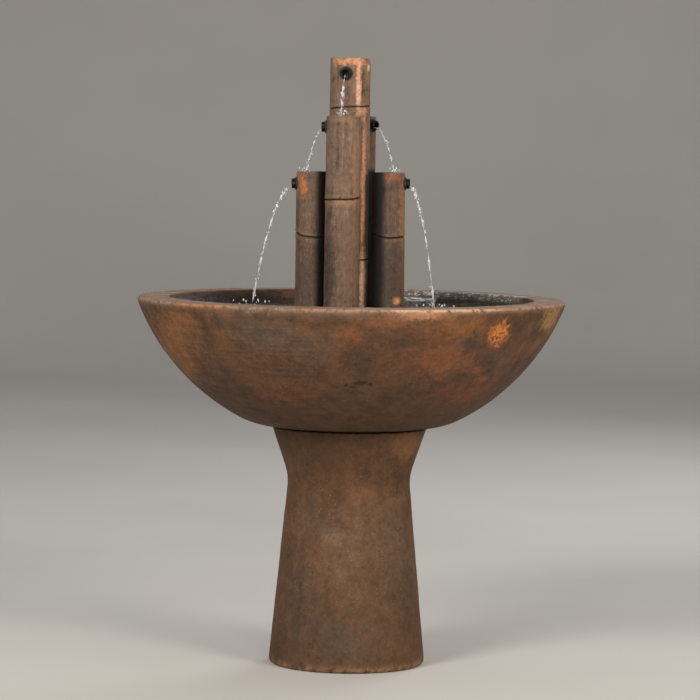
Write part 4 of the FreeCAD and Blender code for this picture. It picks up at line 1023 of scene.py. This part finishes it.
class FOUNTAIN_OT_pedestal(bpy.types.Operator):
    """Waisted pedestal with the cord's arch at its back"""

    bl_idname = "fountain.pedestal"
    bl_label = "Pedestal"

    def execute(self, context):
        look = context.scene.fountain_stone
        corners = [
            (HOLLOW_FOOT_RADIUS, 0, 0),
            (PEDESTAL_FOOT_RADIUS, 0, PEDESTAL_FOOT_ROUND),
            (WAIST_RADIUS, WAIST_HEIGHT, WAIST_ROUND),
            (HEAD_RADIUS, HEAD_HEIGHT, 1.5),
            (HOLLOW_TOP_RADIUS, HEAD_HEIGHT, 2),
            (HOLLOW_TOP_RADIUS, WAIST_HEIGHT, 0),
            (HOLLOW_FOOT_RADIUS, 0, 0),
        ]
        pedestal = turned("pedestal_stone", rounded(in_metres(corners), 0.0048), 220)
        carved(pedestal, arch("cord arch", CORD_ARCH_WIDTH * MM, CORD_ARCH_SIDE * MM, 0.08, 0.17))

        def worn(place):
            """The edge of the foot, and fainter that of the head."""
            low = max(1.2 - place.z / 0.013, 0.0)
            high = max(1 - (PEDESTAL_TOP - place.z) / 0.003, 0.0) * 0.4
            return low + high if off_axis(place) > 0.115 else 0.0

        paint(pedestal, "worn", worn)

        def lumpy(place):
            """Everywhere but at the foot and the head."""
            return min(1.0, place.z / 0.006) * min(1.0, (PEDESTAL_TOP - place.z) / 0.006)

        weights(pedestal, "skin", lumpy)
        displaced(pedestal, "lumps", look.wear, 0.05, 0.6, "skin")
        displaced(pedestal, "ripples", look.wear * 0.5, 0.013, 0.6, "skin")
        finished(pedestal, pedestal_finish(look), "stand", "pedestal")
        return {"FINISHED"}


class FOUNTAIN_OT_plinth(bpy.types.Operator):
    """Hollow plinth under the water, with its four inlets"""

    bl_idname = "fountain.plinth"
    bl_label = "Plinth"

    def execute(self, context):
        look = context.scene.fountain_stone
        rise = (PLINTH_TOP - PLINTH_FOOT) / MM
        inner = PLINTH_RADIUS - PLINTH_WALL
        corners = [
            (0, rise, 0),
            (PLINTH_RADIUS, rise, PLINTH_ROUND),
            (PLINTH_RADIUS, 0, 2),
            (inner, 0, 1.5),
            (inner, rise - PLINTH_WALL, 0),
            (0, rise - PLINTH_WALL, 0),
        ]
        plinth = turned("plinth_stone", rounded(in_metres(corners, PLINTH_FOOT), 0.004), 160)
        for quarter in range(4):
            cutter = arch("inlet", INLET_WIDTH * MM, INLET_SIDE * MM, 0.09, 0.14)
            put(cutter, Vector((0, 0, PLINTH_FOOT)), quarter * math.pi / 2)
            carved(plinth, cutter)

        def lumpy(place):
            """Everywhere but at the foot and on the deck."""
            return min(1.0, (place.z - PLINTH_FOOT) / 0.006) * (place.z < PLINTH_TOP - 0.001)

        weights(plinth, "skin", lumpy)
        displaced(plinth, "lumps", look.wear, 0.03, group="skin")
        finished(plinth, plinth_finish(look), "cluster", "plinth")
        return {"FINISHED"}


def bell(level, nodes, reach):
    """1 at each node, falling to nearly 0 within twice the reach."""
    return [math.exp(-(((level - node) / reach) ** 2)) for node in nodes]


def stem_way(stem):
    """Outline of one stem: tapering side with swollen, grooved nodes and a dished top."""
    def radius(level):
        taper = stem.foot + (stem.top - stem.foot) * level / stem.height
        swell = sum(SWELL_RISE * share for share in bell(level, stem.nodes, SWELL_REACH))
        groove = sum(GROOVE_DEPTH * share for share in bell(level, stem.nodes, GROOVE_REACH))
        return taper + swell - groove

    edge, dish = stem.height - TOP_EDGE, stem.height - DISH_DEPTH
    levels = {0.0, edge}
    level = 0.0
    while level < edge:
        near = min(abs(level - node) for node in stem.nodes)
        level += 0.6 if near < 4 else 3.0
        levels.add(min(level, edge))
    side = [Vector((radius(level) * MM, level * MM)) for level in sorted(levels)]
    corners = [
        (stem.top, edge, 0),
        (stem.top, stem.height, 2.2),
        (stem.top - DISH_BRIM, stem.height, 1.2),
        (stem.top - DISH_WALL, dish, 3),
        (0, dish, 0),
    ]
    rim = rounded(in_metres(corners), 0.002)
    return straight([Vector((0, 0)), side[0]], 0.004) + side[1:] + rim[1:]


def gap_shade_and_wet(name, place):
    """How dark a stem is painted at a place: painted shade, with some damp, on the sides that face each
    other.
    """
    dark = 0.0
    if name == "left":
        dark = 1 - (-0.058 - place.x) / 0.010
    if name == "right":
        dark = 1 - (place.x - 0.050) / 0.012
    if name == "tall" and place.z < 0.882:
        dark = 1 - (0.0280 - place.x) / 0.003
    if name == "rear":
        dark = min(1.0, (0.884 - place.z) / 0.006, (0.075 - place.y) / 0.012)
    return max(0.0, min(dark, 1.0))


class FOUNTAIN_OT_stems(bpy.types.Operator):
    """Five bamboo stems cast in stone"""

    bl_idname = "fountain.stems"
    bl_label = "Stems"

    def execute(self, context):
        look = context.scene.fountain_stems
        for name, form in STEMS.items():
            stem = turned(f"{name}_bamboo", stem_way(form), 88)

            def near_node(place):
                """Millimetres to the nearest node."""
                return min(abs(place.z / MM - node) for node in form.nodes)

            def worn(place):
                """The top's edge, rubbed paler, and the swellings beside each groove, where a highlight is
                painted.
                """
                edge = 1 - (form.height * MM - place.z) / 0.004
                return max(edge, 0.0) + 0.8 * max(0.0, 1 - abs(near_node(place) - 5) / 4)

            def wander(place):
                """1 at a node and 0 between nodes."""
                share = min(near_node(place) / 24, 1.0)
                return math.cos(share * math.pi / 2) if place.z > 0.003 else 0.0

            def sloped(place):
                """The same, and more to one side."""
                return wander(place) * max(0.0, place.x / reach) ** 2

            paint(stem, "groove", lambda place: math.exp(-((near_node(place) / 1.1) ** 2)))
            paint(stem, "worn", worn)
            for side, rise in NODE_SLOPES[name]:
                reach = side * form.foot * MM
                pressed(stem, f"slope {side}", rise * MM, "Z", sloped)
            weights(stem, "nodes", wander)
            weights(stem, "skin", lambda place: min(1.0, place.z / 0.004))
            foot = stem_foot(name)
            put(stem, foot)
            paint(stem, "wet", lambda place: gap_shade_and_wet(name, place))
            displaced(stem, "wander", look.node_wave, 0.02, 0.5, "nodes", "Z")
            displaced(stem, "lumps", 0.0012, 0.035, 0.75, "skin")
            displaced(stem, "fibres", look.fibre, 0.006, 0.75, "skin", stretch=(1, 1, 9))
            crest = foot + Vector((34.0 * MM, -8.0 * MM, form.height * MM))

            def chipped(place):
                """A bite out of the top's edge."""
                return 1.25 - ((place - crest) * 1000 / 12).length if place.z > crest.z - 0.012 else 0.0

            if name == "tall":
                pressed(stem, "chip", -0.0055, "Z", chipped)
            mouth, facing = spout_way(name)
            bpy.ops.mesh.primitive_cylinder_add(
                vertices=48, radius=HOLE_RADIUS * MM, depth=HOLE_LENGTH * MM
            )
            hole = bpy.context.object
            turn = facing.to_track_quat("Z", "Y").to_matrix().to_4x4()
            hole.matrix_world = Matrix.Translation(mouth - facing * HOLE_MIDDLE * MM) @ turn
            carved(stem, hole)
            finished(stem, stem_finish(look, name), "cluster", f"{name}_stem")
        return {"FINISHED"}


class FOUNTAIN_OT_spouts(bpy.types.Operator):
    """Five short black spouts, one in each stem"""

    bl_idname = "fountain.spouts"
    bl_label = "Spouts"

    def execute(self, context):
        look = context.scene.fountain_spouts
        material = moulded("black spout", look.black, 0.30, 0.0009, 0.00012, Specular_IOR_Level=0.35)
        lip = look.lip / MM
        corners = [
            (0, -SPOUT_BORE_DEPTH, 0),
            (SPOUT_BORE_RADIUS, -SPOUT_BORE_DEPTH, 0.4),
            (SPOUT_BORE_RADIUS, 0, lip),
            (SPOUT_RADIUS, 0, lip),
            (SPOUT_RADIUS, -SPOUT_LENGTH, 0),
            (0, -SPOUT_LENGTH, 0),
        ]
        model = turned("spout_model", rounded(in_metres(corners), 0.003), 48)
        model.rotation_euler.x = math.radians(-90)
        take(model)
        bpy.ops.object.transform_apply(location=False, rotation=True, scale=False)
        for name in STEMS:
            mouth, facing = spout_way(name)
            take(model)
            bpy.ops.object.duplicate()
            spout = bpy.context.object
            spout.name = spout.data.name = f"{name}_mouth"
            put(spout, mouth, math.radians(STEMS[name].heading))
            finished(spout, material, "cluster", f"{name}_spout")
        bpy.data.objects.remove(model)
        return {"FINISHED"}


def fall(start, end, count=40):
    """Points of a stream that leaves level from its spout and lands at the end point."""
    time = math.sqrt(2 * (start.z - end.z) / GRAVITY)
    speed = Vector((end.x - start.x, end.y - start.y, 0.0)) / time
    way = []
    for step in range(count + 1):
        moment = time * step / count
        way.append(start + speed * moment + Vector((0, 0, -0.5 * GRAVITY * moment * moment)))
    return way


def strand(name, way, radius, luck, clear):
    """A beaded stream along a way, thin as a thread in its first clear steps."""
    set_down()
    bpy.ops.mesh.primitive_circle_add(vertices=8, radius=radius, location=way[0])
    piece = bpy.context.object
    piece.name = piece.data.name = name
    bpy.ops.object.transform_apply(location=True, rotation=True, scale=True)
    bpy.ops.object.mode_set(mode="EDIT")
    bpy.ops.mesh.select_all(action="SELECT")
    width = 1.0
    for index, (here, there) in enumerate(zip(way, way[1:])):
        stride = tuple(there - here)
        bpy.ops.mesh.extrude_region_move(TRANSFORM_OT_translate={"value": stride})
        beaded = 0.45 + 0.5 * luck.random() + 0.85 * math.sin(index * 1.25 + luck.random())
        wanted = max(THREAD, beaded)
        wanted *= 1 - 0.4 * index / len(way)
        if index < clear:
            wanted = THREAD
        scale = wanted / width
        bpy.ops.transform.resize(value=(scale, scale, 1.0), center_override=tuple(there))
        width = wanted
    bpy.ops.transform.resize(value=(0.3, 0.3, 1.0), center_override=tuple(way[-1]))
    bpy.ops.mesh.select_all(action="SELECT")
    bpy.ops.mesh.select_mode(type="EDGE")
    bpy.ops.mesh.select_non_manifold()
    bpy.ops.mesh.edge_face_add()
    bpy.ops.mesh.select_all(action="SELECT")
    bpy.ops.mesh.normals_make_consistent(inside=False)
    bpy.ops.mesh.select_mode(type="VERT")
    bpy.ops.object.mode_set(mode="OBJECT")
    smooth = piece.modifiers.new("smooth", "SUBSURF")
    smooth.levels = smooth.render_levels = 1
    take(piece)
    bpy.ops.object.modifier_apply(modifier="smooth")
    displaced(piece, "ragged", radius * 1.3, 0.005, 0.5)
    return piece


def drop(radius):
    """One drop: round below and drawn to a point above."""
    set_down()
    bpy.ops.mesh.primitive_ico_sphere_add(subdivisions=2, radius=radius)
    piece = bpy.context.object
    bpy.ops.object.mode_set(mode="EDIT")
    bpy.ops.mesh.select_all(action="DESELECT")
    bpy.ops.object.mode_set(mode="OBJECT")
    for vertex in piece.data.vertices:
        vertex.select = vertex.co.z > radius * 0.45
    bpy.ops.object.mode_set(mode="EDIT")
    bpy.ops.transform.resize(value=(0.45, 0.45, 1.0), center_override=(0, 0, radius))
    bpy.ops.transform.translate(value=(0, 0, radius * 0.7))
    bpy.ops.object.mode_set(mode="OBJECT")
    return piece


def landings(level):
    """Where each stem's stream ends: in the dish of a lower stem, or on the pool at its level."""
    front, side = (PLINTH_TOP + (STEMS[name].height - 4) * MM for name in ("front", "left"))
    return {
        "tall": (-0.0232, -0.0575, front),
        "front": (-0.0830, -0.0300, side),
        "rear": (0.0735, 0.0020, side),
        "left": (-0.1768, -0.0260, level),
        "right": (0.1475, -0.0200, level),
    }


class FOUNTAIN_OT_streams(bpy.types.Operator):
    """Streams and drops that fall from the spouts"""

    bl_idname = "fountain.streams"
    bl_label = "Streams"

    def execute(self, context):
        look = context.scene.fountain_water
        material = stream_finish()
        luck = random.Random(11)
        for name, landing in landings(look.level).items():
            mouth, facing = spout_way(name)
            way = fall(mouth - facing * 0.004 - Vector((0, 0, 0.0038)), Vector(landing))
            clear = 18 if name == "tall" else 0
            stream = strand(f"{name}_stream", way, look.strand, luck, clear)
            drops = []
            count = int(FEWEST_DROPS + DROPS_PER_METRE * (way[0].z - way[-1].z))
            for _ in range(count):
                place = way[luck.randrange(clear + 4, len(way))].copy()
                place += Vector([luck.uniform(-STRAY, STRAY) for _ in range(3)])
                place.z = max(place.z, landing[2] + 0.003)
                bead = drop(luck.uniform(*DROP_RADII))
                put(bead, place)
                drops.append(bead)
            reach = POOL_SPLASH if landing[2] == look.level else DISH_SPLASH
            for _ in range(SPLASH_DROPS):
                turn = Matrix.Rotation(luck.uniform(0, math.tau), 3, "Z")
                spoke = turn @ Vector((luck.uniform(0.003, reach), 0, 0))
                bead = drop(luck.uniform(*SPLASH_RADII))
                put(bead, way[-1] + spoke + Vector((0, 0, luck.uniform(*SPLASH_HEIGHTS))))
                drops.append(bead)
            take(stream)
            for bead in drops:
                bead.select_set(True)
            bpy.ops.object.join()
            finished(stream, material, "cluster")
        return {"FINISHED"}


class FOUNTAIN_OT_pool(bpy.types.Operator):
    """Still water in the bowl, rippled where the streams land"""

    bl_idname = "fountain.pool"
    bl_label = "Pool"

    def execute(self, context):
        look = context.scene.fountain_water
        edge = hollow_radius(look.level) + 0.004
        way = straight([Vector((0, look.level)), Vector((edge - 0.004, look.level))], 0.006)
        way += [Vector((edge, look.level + 0.0012))]
        pool = turned("pool", way, 180)
        displaced(pool, "swell", 0.0016, 0.045, 0.5, axis="Z")
        splashes = [place for place in landings(look.level).values() if place[2] == look.level]
        finished(pool, pool_finish(look, splashes), "bowl")
        return {"FINISHED"}


class FOUNTAIN_OT_fittings(bpy.types.Operator):
    """Finishes of the pads, pipes and pump"""

    bl_idname = "fountain.fittings"
    bl_label = "Fittings"

    def execute(self, context):
        look = context.scene.fountain_fittings
        finishes = {
            "black_rubber": moulded("black rubber", look.rubber, 0.72, 0.0016, 0.0003),
            "spout_plastic": moulded("ring plastic", (0.012, 0.012, 0.011), 0.4, 0.0009, 0.00012),
            "grey_pipe": moulded("grey pipe", look.pipe, 0.46, 0.002, 0.0002),
            "clear_tube": moulded(
                "milky tube", tone(196, 202, 200), 0.24, 0.003, 0.0002, Transmission_Weight=0.45
            ),
            "pump_plastic": moulded("pump plastic", look.pump, 0.5, 0.0011, 0.0003),
            "knob_plastic": moulded("knob plastic", look.knob, 0.42, 0.0012, 0.0002),
            "impeller_plastic": moulded("impeller plastic", look.impeller, 0.38, 0.0012, 0.0002),
            "ferrite": moulded("ferrite", tone(58, 58, 60), 0.55, 0.0009, 0.0003, Metallic=0.4),
            "white_ceramic": moulded("white ceramic", tone(226, 224, 218), 0.22, 0.002, 0.0001),
            "core_steel": moulded("core steel", tone(150, 150, 152), 0.4, 0.0008, 0.0003, Metallic=0.9),
            "coil_resin": moulded("coil resin", tone(58, 34, 24), 0.4, 0.0014, 0.0004),
        }
        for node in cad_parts.values():
            slot = node.data.materials[0].name.split(".")[0]
            if slot in finishes:
                node.data.materials.clear()
                node.data.materials.append(finishes[slot])
        return {"FINISHED"}


class FOUNTAIN_OT_stage(bpy.types.Operator):
    """Floor, lights and camera"""

    bl_idname = "fountain.stage"
    bl_label = "Stage"

    def lamp(self, name, place, size, power, aim, shade):
        data = bpy.data.lights.new(name, "AREA")
        data.shape = "DISK"
        data.size = size
        data.energy = power
        data.color = shade
        lamp = bpy.data.objects.new(name, data)
        bpy.context.scene.collection.objects.link(lamp)
        lamp.location = place
        lamp.rotation_euler = (Vector(aim) - Vector(place)).to_track_quat("-Z", "Y").to_euler()

    def execute(self, context):
        look = context.scene.fountain_stage
        corners = [(0, -0.0005, 0), (10, -0.0005, 3.0), (10, 6, 0)]
        floor = turned("floor", rounded(corners, 0.5), 96)
        take(floor)
        bpy.ops.object.mode_set(mode="EDIT")
        bpy.ops.mesh.select_all(action="SELECT")
        bpy.ops.mesh.normals_make_consistent(inside=True)
        bpy.ops.object.mode_set(mode="OBJECT")
        bpy.ops.object.shade_smooth()
        coat = Finish("pale floor")
        cloud = coat.noise(1.2, 3.0)
        shade = coat.mix(cloud.between(0.35, 0.65), tuple(look.floor), darker(look.floor, 0.95))
        floor.data.materials.append(coat.surface(shade, 0.9, Specular_IOR_Level=0.1))
        self.lamp("key light", (-2.7, -3.7, 3.0), 1.8, 148, (0, 0, 0.65), (1.0, 0.97, 0.92))
        self.lamp("fill light", (3.0, -3.5, 2.3), 1.8, 112, (0, 0, 0.65), (1.0, 0.93, 0.85))
        self.lamp("front light", (0.9, -5.4, 1.9), 1.2, 42, (0, 0, 0.7), (1.0, 0.96, 0.9))
        self.lamp("back light", (1.6, 3.4, 3.0), 1.8, 45, (0, 0, 0.7), (0.95, 0.97, 1.0))
        world = bpy.data.worlds.new("studio")
        context.scene.world = world
        world.use_nodes = True
        sky = world.node_tree.nodes["Background"]
        sky.inputs["Color"].default_value = (0.9, 0.92, 0.95, 1.0)
        sky.inputs["Strength"].default_value = 0.34
        camera = bpy.data.objects.new("camera", bpy.data.cameras.new("camera"))
        context.scene.collection.objects.link(camera)
        camera.data.lens = look.lens
        camera.data.sensor_width = 36.0
        camera.data.clip_end = 60.0
        ahead = Vector((
            math.sin(look.yaw) * math.cos(look.pitch),
            math.cos(look.yaw) * math.cos(look.pitch),
            -math.sin(look.pitch),
        ))
        level = ahead.cross(Vector((0, 0, 1))).normalized()
        up = level.cross(ahead)
        right = level * math.cos(look.roll) + up * math.sin(look.roll)
        top = up * math.cos(look.roll) - level * math.sin(look.roll)
        axes = Matrix((right, top, -ahead)).transposed().to_4x4()
        camera.matrix_world = Matrix.Translation((look.sideways, -look.distance, look.height)) @ axes
        context.scene.camera = camera
        context.scene.view_settings.view_transform = "Standard"
        return {"FINISHED"}


class FOUNTAIN_PT_panel(bpy.types.Panel):
    """The fountain's pieces, in the order they are built"""

    bl_label = "Basin Fountain"
    bl_idname = "FOUNTAIN_PT_panel"
    bl_space_type = "VIEW_3D"
    bl_region_type = "UI"
    bl_category = "Fountain"

    def draw(self, context):
        for operator in OPERATORS:
            self.layout.operator(operator.bl_idname)


SETTINGS = {
    "fountain_stone": StoneSettings,
    "fountain_stems": StemSettings,
    "fountain_spouts": SpoutSettings,
    "fountain_water": WaterSettings,
    "fountain_fittings": FittingSettings,
    "fountain_stage": StageSettings,
}
OPERATORS = (
    FOUNTAIN_OT_bowl,
    FOUNTAIN_OT_pedestal,
    FOUNTAIN_OT_plinth,
    FOUNTAIN_OT_stems,
    FOUNTAIN_OT_spouts,
    FOUNTAIN_OT_streams,
    FOUNTAIN_OT_pool,
    FOUNTAIN_OT_fittings,
    FOUNTAIN_OT_stage,
)


def register():
    for made in (*SETTINGS.values(), *OPERATORS, FOUNTAIN_PT_panel):
        bpy.utils.register_class(made)
    for name, group in SETTINGS.items():
        setattr(bpy.types.Scene, name, bpy.props.PointerProperty(type=group))


def unregister():
    for name in SETTINGS:
        delattr(bpy.types.Scene, name)
    for made in reversed((*SETTINGS.values(), *OPERATORS, FOUNTAIN_PT_panel)):
        bpy.utils.unregister_class(made)


def main():
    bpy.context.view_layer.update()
    register()
    bpy.ops.fountain.bowl()
    bpy.ops.fountain.pedestal()
    bpy.ops.fountain.plinth()
    bpy.ops.fountain.stems()
    bpy.ops.fountain.spouts()
    bpy.ops.fountain.streams()
    bpy.ops.fountain.pool()
    bpy.ops.fountain.fittings()
    bpy.ops.fountain.stage()


if __name__ == "__main__":
    main()
